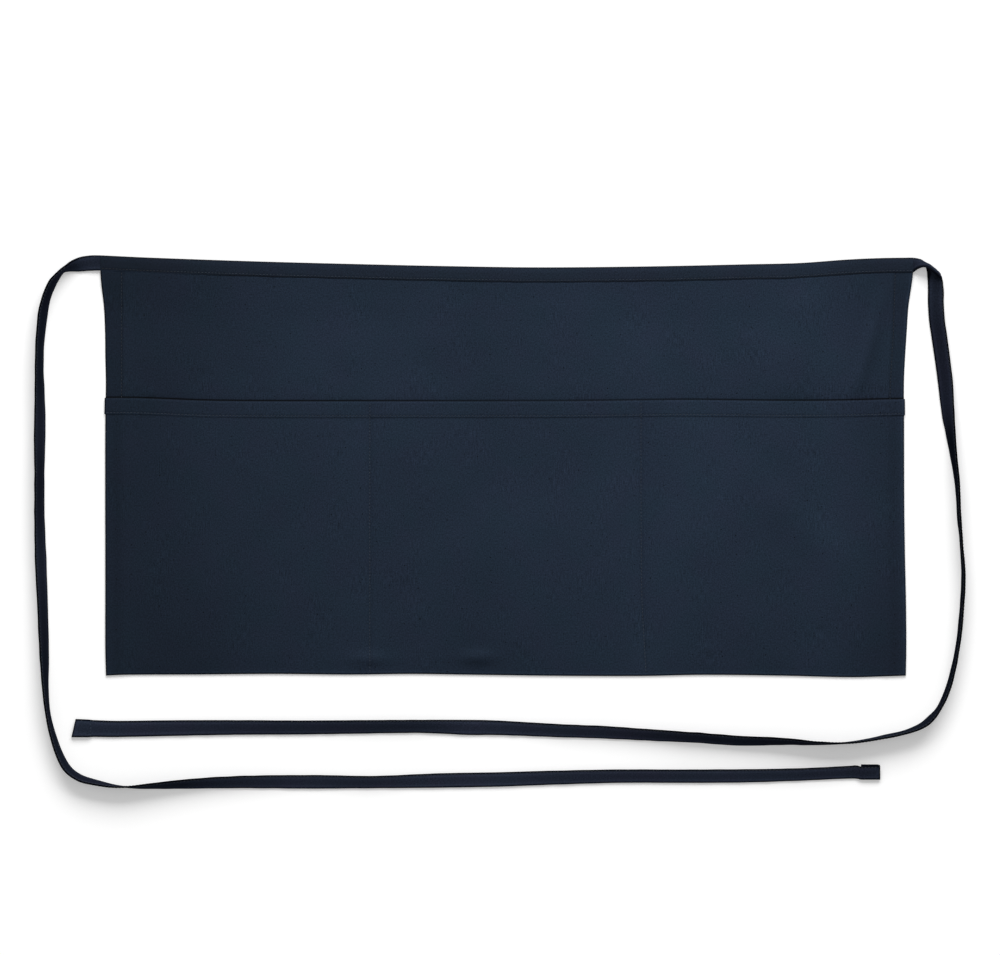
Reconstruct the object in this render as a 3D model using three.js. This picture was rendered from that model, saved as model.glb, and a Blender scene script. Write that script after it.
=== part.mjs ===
// Waist apron of plain twill with three pockets, a folded waistband and two long ties, lying flat.
// Millimetres. x runs across the apron, y up it toward the waistband, z up from the table.
// The origin is on the table, below the middle of the apron without its ties.

import * as THREE from 'three';

// Driving sizes
const PANEL_WIDTH = 580;
const APRON_HEIGHT = 308;
const CLOTH = 1;
const GAP = 0.3;
const CORNER_FLARE = 6.6;
const EDGE_WAVE = 2.4;
const SIDE_HEM = 12;
const HEM_SLOPE = 4;

// Waistband: a strip folded over the top edge of the panel, and running on as the ties
const STRIP_WIDTH = 11.1;
const BAND_SAG = 8.8;
const BAND_STEP = 14;

// Pockets
const POCKET_DEPTH = 204.5;
const MOUTH_SAG = 2.9;
const MOUTH_HEM = 12.6;
const MOUTH_STANDOUT = 0.75;
const POCKET_ROOM = 5.6;
const SEAM_FLAT = 1.5;
const HEM_EDGE = 1.2;

// Ties: the strip sewn flat, with its end turned in
const TIE_THICKNESS = 1.4;
const TIE_HEM = 12;

// The top edge: across in shares of half the width, dip in shares of BAND_SAG
const TOP_EDGE = [
  { across: -1.00, dip: 0.00 },
  { across: -0.88, dip: 0.19 },
  { across: -0.63, dip: 0.49 },
  { across: -0.39, dip: 0.71 },
  { across: -0.14, dip: 0.90 },
  { across: 0.08, dip: 1.00 },
  { across: 0.35, dip: 0.92 },
  { across: 0.60, dip: 0.74 },
  { across: 0.72, dip: 0.64 },
  { across: 0.84, dip: 0.35 },
  { across: 0.92, dip: 0.23 },
  { across: 1.00, dip: 0.19 },
];

// The bottom edge: drop in shares of EDGE_WAVE
const BOTTOM_EDGE = [
  { across: -1.00, drop: 0.50 },
  { across: -0.95, drop: 0.26 },
  { across: -0.77, drop: 0.17 },
  { across: -0.58, drop: 0.00 },
  { across: -0.39, drop: 0.20 },
  { across: -0.24, drop: 0.00 },
  { across: -0.08, drop: 0.25 },
  { across: 0.11, drop: 0.55 },
  { across: 0.32, drop: 0.63 },
  { across: 0.49, drop: 0.27 },
  { across: 0.70, drop: 0.55 },
  { across: 0.86, drop: 1.00 },
  { across: 0.97, drop: 0.65 },
  { across: 1.00, drop: 0.50 },
];

// The two sides: up in shares of the height, left and right in shares of CORNER_FLARE
const SIDE_LINES = [
  { up: 0.00, left: 0.38, right: 0.20 },
  { up: 0.07, left: 0.46, right: 0.26 },
  { up: 0.18, left: 0.46, right: 0.22 },
  { up: 0.30, left: 0.46, right: 0.10 },
  { up: 0.42, left: 0.47, right: 0.03 },
  { up: 0.60, left: 0.46, right: 0.01 },
  { up: 0.70, left: 0.40, right: 0.00 },
  { up: 0.76, left: 0.46, right: 0.13 },
  { up: 0.82, left: 0.49, right: 0.31 },
  { up: 0.88, left: 0.62, right: 0.50 },
  { up: 0.93, left: 0.90, right: 0.84 },
  { up: 0.96, left: 1.00, right: 1.00 },
  { up: 1.00, left: 1.00, right: 1.00 },
];

// The pocket mouth: sag in shares of MOUTH_SAG
const MOUTH_LINE = [
  { across: -1.00, sag: 0.00 },
  { across: -0.92, sag: 0.05 },
  { across: -0.72, sag: 0.75 },
  { across: -0.30, sag: 0.85 },
  { across: 0.15, sag: 0.80 },
  { across: 0.45, sag: 0.50 },
  { across: 0.70, sag: 0.75 },
  { across: 0.85, sag: 0.65 },
  { across: 0.95, sag: 0.40 },
  { across: 1.00, sag: 0.30 },
];

// Seams that close the pockets, in shares of half the width
const POCKET_SEAMS = [
  { across: -1.000 },
  { across: -0.341 },
  { across: 0.338 },
  { across: 1.000 },
];

// The left tie as it lies: out is away from the band's end, up is toward the waistband, both from
// the middle of that end. roll is the strip's turn about its own run, 0 with its front face up, and
// wide is its width there in shares of STRIP_WIDTH.
const LEFT_TIE = [
  { out: 0.3, up: 0.0, roll: 0, wide: 1.0 },
  { out: 6.1, up: -0.1, roll: 0, wide: 1.02 },
  { out: 9.8, up: -0.4, roll: 6, wide: 1.0 },
  { out: 13.4, up: -0.9, roll: 16, wide: 1.0 },
  { out: 17.0, up: -1.7, roll: 31, wide: 0.98 },
  { out: 20.6, up: -2.6, roll: 44, wide: 0.92 },
  { out: 24.0, up: -3.9, roll: 59, wide: 0.82 },
  { out: 27.4, up: -5.5, roll: 71, wide: 0.78 },
  { out: 30.2, up: -8.4, roll: 70, wide: 0.86 },
  { out: 32.6, up: -11.5, roll: 65, wide: 0.92 },
  { out: 34.8, up: -14.5, roll: 63, wide: 1.0 },
  { out: 37.9, up: -21.2, roll: 62, wide: 1.0 },
  { out: 40.1, up: -28.3, roll: 60, wide: 1.0 },
  { out: 42.2, up: -39.1, roll: 57, wide: 1.0 },
  { out: 44.3, up: -62.0, roll: 62, wide: 1.0 },
  { out: 44.4, up: -82.8, roll: 60, wide: 1.0 },
  { out: 44.1, up: -104.0, roll: 52, wide: 1.0 },
  { out: 44.2, up: -126.6, roll: 48, wide: 1.0 },
  { out: 44.4, up: -152.1, roll: 56, wide: 1.0 },
  { out: 44.4, up: -185.0, roll: 54, wide: 1.0 },
  { out: 43.4, up: -217.8, roll: 47, wide: 1.0 },
  { out: 42.1, up: -250.0, roll: 53, wide: 1.0 },
  { out: 40.9, up: -283.5, roll: 58, wide: 1.0 },
  { out: 40.3, up: -305.4, roll: 69, wide: 1.0 },
  { out: 38.9, up: -323.7, roll: 76, wide: 1.0 },
  { out: 36.3, up: -338.0, roll: 73, wide: 0.95 },
  { out: 31.0, up: -355.5, roll: 66, wide: 0.95 },
  { out: 24.3, up: -368.6, roll: 63, wide: 0.95 },
  { out: 15.6, up: -375.6, roll: 66, wide: 0.95 },
  { out: 4.6, up: -378.9, roll: 72, wide: 0.95 },
  { out: -6.1, up: -381.2, roll: 80, wide: 0.95 },
  { out: -16.9, up: -382.3, roll: 90, wide: 0.95 },
  { out: -28.0, up: -382.3, roll: 101, wide: 0.95 },
  { out: -46.2, up: -381.2, roll: 116, wide: 0.95 },
  { out: -71.7, up: -379.8, roll: 132, wide: 0.95 },
  { out: -104.5, up: -378.8, roll: 145, wide: 0.95 },
  { out: -155.6, up: -378.7, roll: 159, wide: 0.92 },
  { out: -199.4, up: -378.9, roll: 152, wide: 0.88 },
  { out: -246.9, up: -377.8, roll: 164, wide: 0.95 },
  { out: -290.7, up: -377.0, roll: 165, wide: 0.95 },
  { out: -334.5, up: -375.6, roll: 160, wide: 0.94 },
  { out: -378.3, up: -374.6, roll: 157, wide: 0.92 },
  { out: -422.0, up: -374.6, roll: 156, wide: 0.92 },
  { out: -465.9, up: -374.4, roll: 156, wide: 0.92 },
  { out: -509.6, up: -373.4, roll: 152, wide: 0.90 },
  { out: -542.5, up: -371.9, roll: 154, wide: 0.88 },
  { out: -556.5, up: -371.4, roll: 165, wide: 0.92 },
  { out: -569.2, up: -371.2, roll: 172, wide: 0.94 },
];

// The soft fold where the right tie turns down: three points across the strip, each out, up and high.
// The strip's upper edge passes under, its lower edge passes over, and its back face comes up.
const RIGHT_FOLD = [
  { under: [0.4, 5.4, 1.8], crease: [0.4, 0.2, 1.8], over: [0.4, -5.0, 1.8] },
  { under: [3.1, 5.0, 1.3], crease: [3.1, 1.2, 2.4], over: [2.8, -2.9, 4.0] },
  { under: [6.2, 3.2, 0.9], crease: [7.2, 1.4, 3.8], over: [6.4, -1.4, 7.0] },
  { under: [8.7, -0.2, 0.8], crease: [11.0, 0.5, 4.2], over: [9.9, -1.9, 7.8] },
  { under: [9.6, -2.8, 0.7], crease: [14.5, -1.9, 4.0], over: [13.6, -4.8, 6.4] },
  { under: [10.2, -5.4, 0.7], crease: [18.0, -5.0, 3.0], over: [17.8, -8.0, 4.8] },
  { under: [10.5, -8.6, 0.7], crease: [18.6, -8.8, 2.0], over: [20.8, -11.4, 3.0] },
  { under: [10.9, -12.8, 0.7], crease: [17.0, -14.0, 1.1], over: [21.9, -15.8, 1.8] },
  { under: [11.1, -19.0, 0.7], crease: [16.8, -20.0, 0.8], over: [22.3, -21.0, 1.0] },
];

// The right tie after its fold, in the same columns as the left one
const RIGHT_TIE = [
  { out: 16.6, up: -27.5, roll: 176, wide: 1.0 },
  { out: 17.5, up: -41.0, roll: 171, wide: 1.0 },
  { out: 19.1, up: -51.8, roll: 170, wide: 1.0 },
  { out: 22.1, up: -73.5, roll: 167, wide: 0.98 },
  { out: 23.8, up: -88.0, roll: 162, wide: 0.98 },
  { out: 25.3, up: -106.2, roll: 145, wide: 0.96 },
  { out: 27.2, up: -122.0, roll: 128, wide: 0.96 },
  { out: 29.5, up: -138.8, roll: 112, wide: 0.98 },
  { out: 32.2, up: -160.0, roll: 103, wide: 1.0 },
  { out: 33.4, up: -182.4, roll: 99, wide: 1.0 },
  { out: 35.2, up: -204.3, roll: 96, wide: 1.0 },
  { out: 36.6, up: -226.1, roll: 99, wide: 1.0 },
  { out: 35.6, up: -248.0, roll: 100, wide: 1.0 },
  { out: 33.6, up: -270.0, roll: 100, wide: 1.0 },
  { out: 30.4, up: -289.5, roll: 101, wide: 1.0 },
  { out: 26.0, up: -307.2, roll: 104, wide: 1.0 },
  { out: 19.5, up: -322.3, roll: 103, wide: 1.0 },
  { out: 11.5, up: -332.2, roll: 110, wide: 1.0 },
  { out: 3.0, up: -337.7, roll: 105, wide: 1.0 },
  { out: -8.5, up: -341.5, roll: 100, wide: 1.0 },
  { out: -23.0, up: -344.6, roll: 98, wide: 1.0 },
  { out: -38.5, up: -347.5, roll: 93, wide: 1.0 },
  { out: -53.9, up: -348.9, roll: 88, wide: 1.0 },
  { out: -72.1, up: -348.8, roll: 79, wide: 1.0 },
  { out: -94.0, up: -347.5, roll: 66, wide: 1.0 },
  { out: -126.9, up: -347.0, roll: 53, wide: 1.0 },
  { out: -159.0, up: -344.7, roll: 50, wide: 1.0 },
  { out: -192.3, up: -342.8, roll: 41, wide: 0.96 },
  { out: -225.4, up: -340.9, roll: 35, wide: 0.96 },
  { out: -258.1, up: -339.7, roll: 30, wide: 0.95 },
  { out: -301.9, up: -337.7, roll: 16, wide: 0.95 },
  { out: -323.7, up: -337.4, roll: 12, wide: 0.98 },
  { out: -360.2, up: -336.6, roll: 26, wide: 0.92 },
  { out: -404.0, up: -337.0, roll: 25, wide: 0.94 },
  { out: -447.8, up: -337.4, roll: 20, wide: 0.94 },
  { out: -491.6, up: -337.4, roll: 16, wide: 0.96 },
  { out: -535.4, up: -337.8, roll: 10, wide: 1.0 },
  { out: -579.2, up: -338.5, roll: 6, wide: 1.03 },
  { out: -597.6, up: -338.2, roll: 3, wide: 1.06 },
  { out: -612.8, up: -337.9, roll: 0, wide: 1.1 },
];

// How finely the solids are cut
const BAND_STATIONS = 28;
const BAND_FOLD_STEPS = 5;
const TIE_STATIONS = 80;
const RIGHT_TIE_STATIONS = 90;
const PANEL_COLUMNS = [
  -1, -0.985, -0.88, -0.79, -0.71, -0.63, -0.51, -0.39, -0.26, -0.14, 0,
  0.08, 0.2, 0.35, 0.48, 0.6, 0.66, 0.72, 0.78, 0.84, 0.88, 0.92, 0.985, 1,
];
const COLUMN_CLEAR = 0.003;
const STEP_ROWS = [0.6, 0.3];
const PANEL_ROWS = [0, 0.04, 0.1, 0.18, 0.3, 0.42, 0.6, 0.7, 0.76, 0.82, 0.88, 0.93, 1];
const POCKET_COLUMNS = [-1, -0.93, -0.83, -0.7, -0.42, 0, 0.42, 0.7, 0.83, 0.93, 1];
const POCKET_ROWS = [0, 0.02, 0.06, 0.12, 0.2, 0.32, 0.5, 0.75, 1];
const PUFF_ACROSS = 6;
const PUFF_UP = 5;
const TIE_SECTION = [
  { across: -1.0, thick: 0.55 },
  { across: -0.82, thick: 1.0 },
  { across: 0.0, thick: 1.0 },
  { across: 0.82, thick: 1.0 },
  { across: 1.0, thick: 0.55 },
];

// Reading a table between its rows, with a smooth curve through them
function slopeAt(rows, key, value, i) {
  const before = rows[Math.max(i - 1, 0)];
  const after = rows[Math.min(i + 1, rows.length - 1)];
  return (after[value] - before[value]) / (after[key] - before[key]);
}

function readTable(rows, key, at, value) {
  const place = THREE.MathUtils.clamp(at, rows[0][key], rows[rows.length - 1][key]);
  let i = 0;
  while (i < rows.length - 2 && place > rows[i + 1][key]) i += 1;
  const span = rows[i + 1][key] - rows[i][key];
  const t = (place - rows[i][key]) / span;
  const rise = rows[i + 1][value] - rows[i][value];
  const first = slopeAt(rows, key, value, i) * span;
  const last = slopeAt(rows, key, value, i + 1) * span;
  return rows[i][value] + t * first + t * t * (3 * rise - 2 * first - last) +
    t * t * t * (first + last - 2 * rise);
}

// Outline of the apron
const BOTTOM_Y = -APRON_HEIGHT / 2;

function sideX(side, y) {
  const up = (y - BOTTOM_Y) / APRON_HEIGHT;
  const flare = readTable(SIDE_LINES, 'up', up, side < 0 ? 'left' : 'right');
  return side * (PANEL_WIDTH / 2 + CORNER_FLARE * flare);
}

function sideOf(across) {
  return across < 0 ? -1 : 1;
}

function acrossX(across, y) {
  return Math.abs(across) * sideX(sideOf(across), y);
}

function topY(across) {
  return BOTTOM_Y + APRON_HEIGHT - BAND_SAG * readTable(TOP_EDGE, 'across', across, 'dip');
}

function bottomY(across) {
  return BOTTOM_Y + EDGE_WAVE * (1 - readTable(BOTTOM_EDGE, 'across', across, 'drop'));
}

function mouthY(across) {
  return BOTTOM_Y + POCKET_DEPTH - MOUTH_SAG * readTable(MOUTH_LINE, 'across', across, 'sag');
}

function bandLowY(across) {
  return topY(across) - STRIP_WIDTH;
}

// A closed solid from two faces of the same grid, joined round the rim.
// Seen from above with columns to the right and rows upward, over is the near face.
function clothSolid(under, over) {
  const rows = over.length;
  const columns = over[0].length;
  const points = [...under.flat(), ...over.flat()];
  const at = (face, row, column) => (face * rows + row) * columns + column;
  const index = [];
  const quad = (a, b, c, d) => index.push(a, b, c, a, c, d);
  for (let row = 0; row < rows - 1; row += 1) {
    for (let column = 0; column < columns - 1; column += 1) {
      quad(at(1, row, column), at(1, row, column + 1), at(1, row + 1, column + 1), at(1, row + 1, column));
      quad(at(0, row, column), at(0, row + 1, column), at(0, row + 1, column + 1), at(0, row, column + 1));
    }
  }
  const last = rows - 1;
  const end = columns - 1;
  for (let column = 0; column < end; column += 1) {
    quad(at(0, 0, column), at(0, 0, column + 1), at(1, 0, column + 1), at(1, 0, column));
    quad(at(0, last, column + 1), at(0, last, column), at(1, last, column), at(1, last, column + 1));
  }
  for (let row = 0; row < last; row += 1) {
    quad(at(0, row + 1, 0), at(0, row, 0), at(1, row, 0), at(1, row + 1, 0));
    quad(at(0, row, end), at(0, row + 1, end), at(1, row + 1, end), at(1, row, end));
  }
  const geometry = new THREE.BufferGeometry().setFromPoints(points);
  geometry.setIndex(index);
  geometry.computeVertexNormals();
  return geometry;
}

// Back panel: how far the cloth is lifted toward the band, and where its side hems double it
function bandLift(across, y) {
  const start = bandLowY(across) - BAND_STEP;
  return (CLOTH + GAP) * THREE.MathUtils.smoothstep(y, start, bandLowY(across));
}

function panelUnder(across, x, y) {
  return bandLift(across, y);
}

function sideHemShare(across, x, y) {
  const inward = Math.abs(sideX(sideOf(across), y)) - Math.abs(x);
  const beside = 1 - THREE.MathUtils.smoothstep(inward, SIDE_HEM, SIDE_HEM + HEM_SLOPE);
  const low = bandLowY(across);
  return beside * (1 - THREE.MathUtils.smoothstep(y, low - BAND_STEP / 2, low - GAP));
}

function panelTop(across, x, y) {
  return bandLift(across, y) + CLOTH * (1 + sideHemShare(across, x, y));
}

function panelLevels(across) {
  const low = bandLowY(across);
  const foot = bottomY(across);
  const shared = PANEL_ROWS.map((share) => foot + (low - BAND_STEP - foot) * share);
  const stepped = STEP_ROWS.map((share) => low - BAND_STEP * share);
  return [...shared, ...stepped, low - GAP, topY(across) - CLOTH - GAP];
}

// The columns a panel is cut at, with those where its side hems begin and end in place of any nearby
function withHemColumns(columns) {
  const hems = [SIDE_HEM, SIDE_HEM + HEM_SLOPE].map((inward) => 1 - inward / (PANEL_WIDTH / 2));
  const clear = (share) => hems.every((hem) => Math.abs(Math.abs(share) - hem) > COLUMN_CLEAR);
  return [...columns.filter(clear), ...hems, ...hems.map((share) => -share)].sort((a, b) => a - b);
}

function backPanel() {
  const columns = withHemColumns(PANEL_COLUMNS);
  const levels = columns.map(panelLevels);
  const face = (height) => levels[0].map((_, row) => columns.map((across, column) => {
    const y = levels[column][row];
    const x = acrossX(across, y);
    return new THREE.Vector3(x, y, height(across, x, y));
  }));
  return clothSolid(face(panelUnder), face(panelTop));
}

// Pocket panel: it lies on the back panel at its seams and stands off it between them
const SEAM_SHARE = SEAM_FLAT / (PANEL_WIDTH / 2);

function pocketPuff(across, y) {
  const right = POCKET_SEAMS.findIndex((seam, i) => i > 0 && across <= seam.across);
  const low = POCKET_SEAMS[right - 1].across + SEAM_SHARE;
  const high = POCKET_SEAMS[right].across - SEAM_SHARE;
  const side = THREE.MathUtils.clamp((2 * (across - low)) / (high - low) - 1, -1, 1);
  const foot = bottomY(across);
  const up = THREE.MathUtils.clamp((y - foot) / (mouthY(across) - foot), 0, 1);
  return { across: 1 - Math.abs(side) ** PUFF_ACROSS, up: 1 - (1 - up) ** PUFF_UP };
}

function mouthHemShare(across, y) {
  const low = mouthY(across) - MOUTH_HEM;
  return THREE.MathUtils.smoothstep(y, low - HEM_EDGE, low);
}

function pocketUnder(across, x, y) {
  const puff = pocketPuff(across, y);
  const tuck = CLOTH * mouthHemShare(across, y) * puff.across;
  return panelTop(across, x, y) + GAP + POCKET_ROOM * puff.across * puff.up - tuck;
}

function pocketTop(across, x, y) {
  return pocketUnder(across, x, y) + CLOTH * (1 + mouthHemShare(across, y));
}

function pocketColumns() {
  const columns = [-1];
  for (let i = 0; i < POCKET_SEAMS.length - 1; i += 1) {
    const low = POCKET_SEAMS[i].across + SEAM_SHARE;
    const high = POCKET_SEAMS[i + 1].across - SEAM_SHARE;
    columns.push(...POCKET_COLUMNS.map((share) => low + ((high - low) * (share + 1)) / 2));
  }
  return [...columns, 1];
}

function pocketLevels(across) {
  const foot = bottomY(across);
  const hem = mouthY(across) - MOUTH_HEM;
  const shared = POCKET_ROWS.map((share) => foot + (hem - HEM_EDGE - foot) * share);
  return [...shared, hem, (hem + mouthY(across)) / 2, mouthY(across)];
}

function pocketPanel() {
  const columns = withHemColumns(pocketColumns());
  const levels = columns.map(pocketLevels);
  const face = (height) => levels[0].map((_, row) => columns.map((across, column) => {
    const y = levels[column][row];
    const x = acrossX(across, y);
    const proud = across * MOUTH_STANDOUT * mouthHemShare(across, y);
    return new THREE.Vector3(x + proud, y, height(across, x, y));
  }));
  return clothSolid(face(pocketUnder), face(pocketTop));
}

// Waistband: the folded strip, drawn as two paths round the top edge of the panel
const BAND_INSIDE = CLOTH + 2 * GAP;
const BAND_THICKNESS = BAND_INSIDE + 2 * CLOTH;

function foldPath(low, top, inset) {
  const round = BAND_THICKNESS / 2;
  const path = [[low, inset]];
  for (let i = 0; i <= BAND_FOLD_STEPS; i += 1) {
    const angle = (Math.PI * i) / BAND_FOLD_STEPS;
    path.push([top - round + (round - inset) * Math.sin(angle), round - (round - inset) * Math.cos(angle)]);
  }
  return [...path, [low, BAND_THICKNESS - inset]];
}

function waistband() {
  const face = (inset) => {
    const stations = [];
    for (let i = 0; i <= BAND_STATIONS; i += 1) {
      const across = (2 * i) / BAND_STATIONS - 1;
      const path = foldPath(bandLowY(across), topY(across), inset);
      stations.push(path.map(([y, z]) => new THREE.Vector3(acrossX(across, topY(across)), y, z)));
    }
    return stations;
  };
  return clothSolid(face(CLOTH), face(0));
}

// Where a tie leaves the band: the middle of the band's end
function bandEnd(side) {
  return new THREE.Vector3(sideX(side, topY(side)), topY(side) - STRIP_WIDTH / 2, BAND_THICKNESS / 2);
}

// A row of a tie as three points across the strip, its edge on the table
function strips(rows, side, end) {
  const middles = rows.map((row) => new THREE.Vector2(end.x + side * row.out, end.y + row.up));
  return rows.map((row, i) => {
    const ahead = middles[Math.min(i + 1, rows.length - 1)];
    const behind = middles[Math.max(i - 1, 0)];
    const run = ahead.clone().sub(behind).normalize();
    const roll = THREE.MathUtils.degToRad(row.roll);
    const reach = (row.wide * STRIP_WIDTH) / 2;
    const high = Math.abs(Math.sin(roll)) * reach + (Math.abs(Math.cos(roll)) * TIE_THICKNESS) / 2;
    const settle = i === 0 && row.roll === 0 ? end.z : high;
    const middle = new THREE.Vector3(middles[i].x, middles[i].y, settle);
    const right = new THREE.Vector3(run.y, -run.x, 0).multiplyScalar(Math.cos(roll));
    const half = right.add(new THREE.Vector3(0, 0, Math.sin(roll))).multiplyScalar(reach);
    return [middle.clone().sub(half), middle, middle.clone().add(half)];
  });
}

function foldStrips(rows, side, end) {
  const place = ([out, up, high]) => new THREE.Vector3(end.x + side * out, end.y + up, high);
  return rows.map((row) => [place(row.under), place(row.crease), place(row.over)]);
}

// The strip itself: smooth runs through the rows, thickened, with its end hem doubled
function tie(rulings, stations) {
  const runs = rulings[0].map((_, k) => {
    const points = rulings.map((row) => row[k]);
    return new THREE.CatmullRomCurve3(points, false, 'catmullrom');
  });
  const sections = [];
  for (let i = 0; i <= stations; i += 1) {
    const t = i / stations;
    const [left, middle, right] = runs.map((run) => run.getPoint(t));
    sections.push(TIE_SECTION.map(({ across }) => {
      const bow = middle.clone().sub(left.clone().add(right).multiplyScalar(0.5));
      const point = left.clone().lerp(right, (across + 1) / 2);
      return point.addScaledVector(bow, 1 - across * across);
    }));
  }
  const length = runs[1].getLength();
  const hemStart = stations * (1 - TIE_HEM / length);
  const normals = sections.map((section, i) => section.map((point, j) => {
    const next = sections[Math.min(i + 1, stations)][j];
    const past = sections[Math.max(i - 1, 0)][j];
    const aside = section[Math.min(j + 1, section.length - 1)].clone().sub(section[Math.max(j - 1, 0)]);
    return aside.cross(next.clone().sub(past)).normalize();
  }));
  const half = sections.map((section, i) => section.map((point, j) => {
    const doubled = i > hemStart ? 2 : 1;
    return (doubled * TIE_SECTION[j].thick * TIE_THICKNESS) / 2;
  }));
  const sunk = sections.map((section, i) => {
    const lowest = section.map((point, j) => point.z - Math.abs(normals[i][j].z) * half[i][j]);
    return Math.min(0, ...lowest);
  });
  const face = (sign) => sections.map((section, i) => section.map((point, j) => {
    const raised = point.clone().add(new THREE.Vector3(0, 0, -sunk[i]));
    return raised.addScaledVector(normals[i][j], sign * half[i][j]);
  }));
  return clothSolid(face(-1), face(1));
}

// Cloth colours
const MATTE = { roughness: 0.95, metalness: 0, side: THREE.DoubleSide };
const twill = new THREE.MeshStandardMaterial({ ...MATTE, color: 0x252e3c });
const stripCloth = new THREE.MeshStandardMaterial({ ...MATTE, color: 0x1e232d });

function piece(name, geometry, material) {
  const mesh = new THREE.Mesh(geometry, material);
  mesh.name = name;
  return mesh;
}

const leftRulings = strips(LEFT_TIE, -1, bandEnd(-1));
const rightRulings = [
  ...foldStrips(RIGHT_FOLD, 1, bandEnd(1)),
  ...strips(RIGHT_TIE, 1, bandEnd(1)),
];

const apron = new THREE.Group();
apron.name = 'waist_apron';
apron.add(piece('back_panel', backPanel(), twill));
apron.add(piece('pocket_panel', pocketPanel(), twill));
apron.add(piece('waistband', waistband(), stripCloth));
apron.add(piece('tie_left', tie(leftRulings, TIE_STATIONS), stripCloth));
apron.add(piece('tie_right', tie(rightRulings, RIGHT_TIE_STATIONS), stripCloth));

export default apron;
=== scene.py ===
import math

import bpy
import numpy as np
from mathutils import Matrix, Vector


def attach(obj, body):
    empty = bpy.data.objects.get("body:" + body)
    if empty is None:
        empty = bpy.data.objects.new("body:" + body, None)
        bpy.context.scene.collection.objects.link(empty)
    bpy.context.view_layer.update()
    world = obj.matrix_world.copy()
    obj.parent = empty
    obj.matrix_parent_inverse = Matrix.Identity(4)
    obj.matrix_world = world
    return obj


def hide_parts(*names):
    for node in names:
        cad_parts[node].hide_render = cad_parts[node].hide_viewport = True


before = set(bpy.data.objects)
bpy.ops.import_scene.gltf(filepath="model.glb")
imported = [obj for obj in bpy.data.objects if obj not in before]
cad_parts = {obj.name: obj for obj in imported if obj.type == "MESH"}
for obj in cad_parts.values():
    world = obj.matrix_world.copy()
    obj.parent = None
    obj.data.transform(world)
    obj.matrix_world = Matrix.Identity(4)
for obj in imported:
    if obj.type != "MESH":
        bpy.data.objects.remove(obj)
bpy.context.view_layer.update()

# Looks of a waist apron lying flat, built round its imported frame.
# All sizes here are millimetres, and become metres where a mesh is made.
MM = 0.001

# Outline, as in the part's source
PANEL_WIDTH = 580.0
APRON_HEIGHT = 308.0
HALF = PANEL_WIDTH / 2
CORNER_FLARE = 6.6
EDGE_WAVE = 2.4
STRIP_WIDTH = 11.1
BAND_SAG = 8.8
BAND_STEP = 34.0
POCKET_DEPTH = 204.5
MOUTH_SAG = 2.9
MOUTH_DROP = 0.5
MOUTH_HEM = 11.7
MOUTH_STANDOUT = 0.75
SIDE_HEM = 12.0
FOOT = -APRON_HEIGHT / 2

# Cloth as it shows
WALL = 0.6
PLY_GAP = 0.12
FLOOR_CLEAR = 0.02
HEM_RISE = 0.32
HEM_START = 0.9
HEM_SLOPE = 1.6
HEM_UNDER = 0.3
HEM_OVER = 0.6
HEM_FADE = (7.0, 0.5)
BACK_BELOW_TOP = 2.8
BAND_LIFT = 1.12
BAND_HIGH = 2.3
BAND_LEG = 0.5
RIM_ROUND = 1.2
SEAM_ROUND = 1.5
MOUTH_ROUND = 0.9
POCKET_ROOM = 3.6
MOUTH_GAPE = 1.3
PUFF_ACROSS = 6
PUFF_UP = 4.5
SEAM_FLAT = 1.2
GROOVE_DEPTH = 0.3
GROOVE_WIDTH = 0.7
ROW_GROOVE_WIDTH = 0.4
SIDE_GROOVE_SHARE = 0.4
SIDE_GROOVE_WIDTH = 0.5
TIE_THICKNESS = 1.4
TIE_HEM = 12.0
TIE_FULLER = 0.05

# Where the back panel's cloth grows uneven: up from the mouth, down from the band and in from the sides
ABOVE_MOUTH = (-4, 14)
BELOW_BAND = (22, 2)
FROM_SIDES = (2, 18)

# Where the pocket cloth does: in from its edges and from its dividers, and how far up its mouth gapes
EDGE_FREE = (0.8, 4.0)
INWARD_FREE = (1.0, 14.0)
DIVIDER_FREE = (1.5, 16.0)
PLUMP_RISE, PLUMP_FALL = (0.5, 3.0), (3.0, 12.0)
GAPE_UP = (0.55, 1.0)

# Below and above the mouth, where the back panel's sides come out from under the pocket cloth
POCKETED = (-2, 4)

# Height of the cloth's fine unevenness, and of the puckers beside its seams
BACK_UNEVEN = 0.12
POCKET_UNEVEN = 0.14
SEAM_PUCKER = 0.05
ROW_PUCKER = 0.06
SEAM_PLUMP = 0.2
BAND_SWAY = 0.1
BAND_PUCKER = 0.07
BAND_UNEVEN = 0.1
TIE_FRILL = 0.16

# Stitches
STITCH_PITCH = 2.5
STITCH_LENGTH = 2.05
THREAD_RADIUS = 0.2
THREAD_SIDES, THREAD_RINGS = 6, 7
STITCH_RISE = 0.16
TIE_STITCH_RISE = 0.14
STITCH_ASKEW = 0.09
STITCH_TONES = (0.8, 1.2)
BAND_ROW = 1.6
BAND_ROW_SUNK = 0.28
MOUTH_ROW = 0.9

# Left of the first x the band's seam hardly shows, and right of the second it does
SEAM_SHOWS = (-262.0, -225.0)

# How light each row of stitches is, from one x to another
EVEN = (0.0, 1.0), (1.0, 1.0)
BAND_ROW_TONE = SEAM_SHOWS, (0.45, 1.0)
SIDE_ROW_TONE = (0.0, 1.0), (0.5, 0.5)
TIE_ROW_TONE = (0.0, 1.0), (0.7, 0.7)
HEMMED_ROW_TONE = (-306.0, -298.0), (2.2, 0.7)

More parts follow.
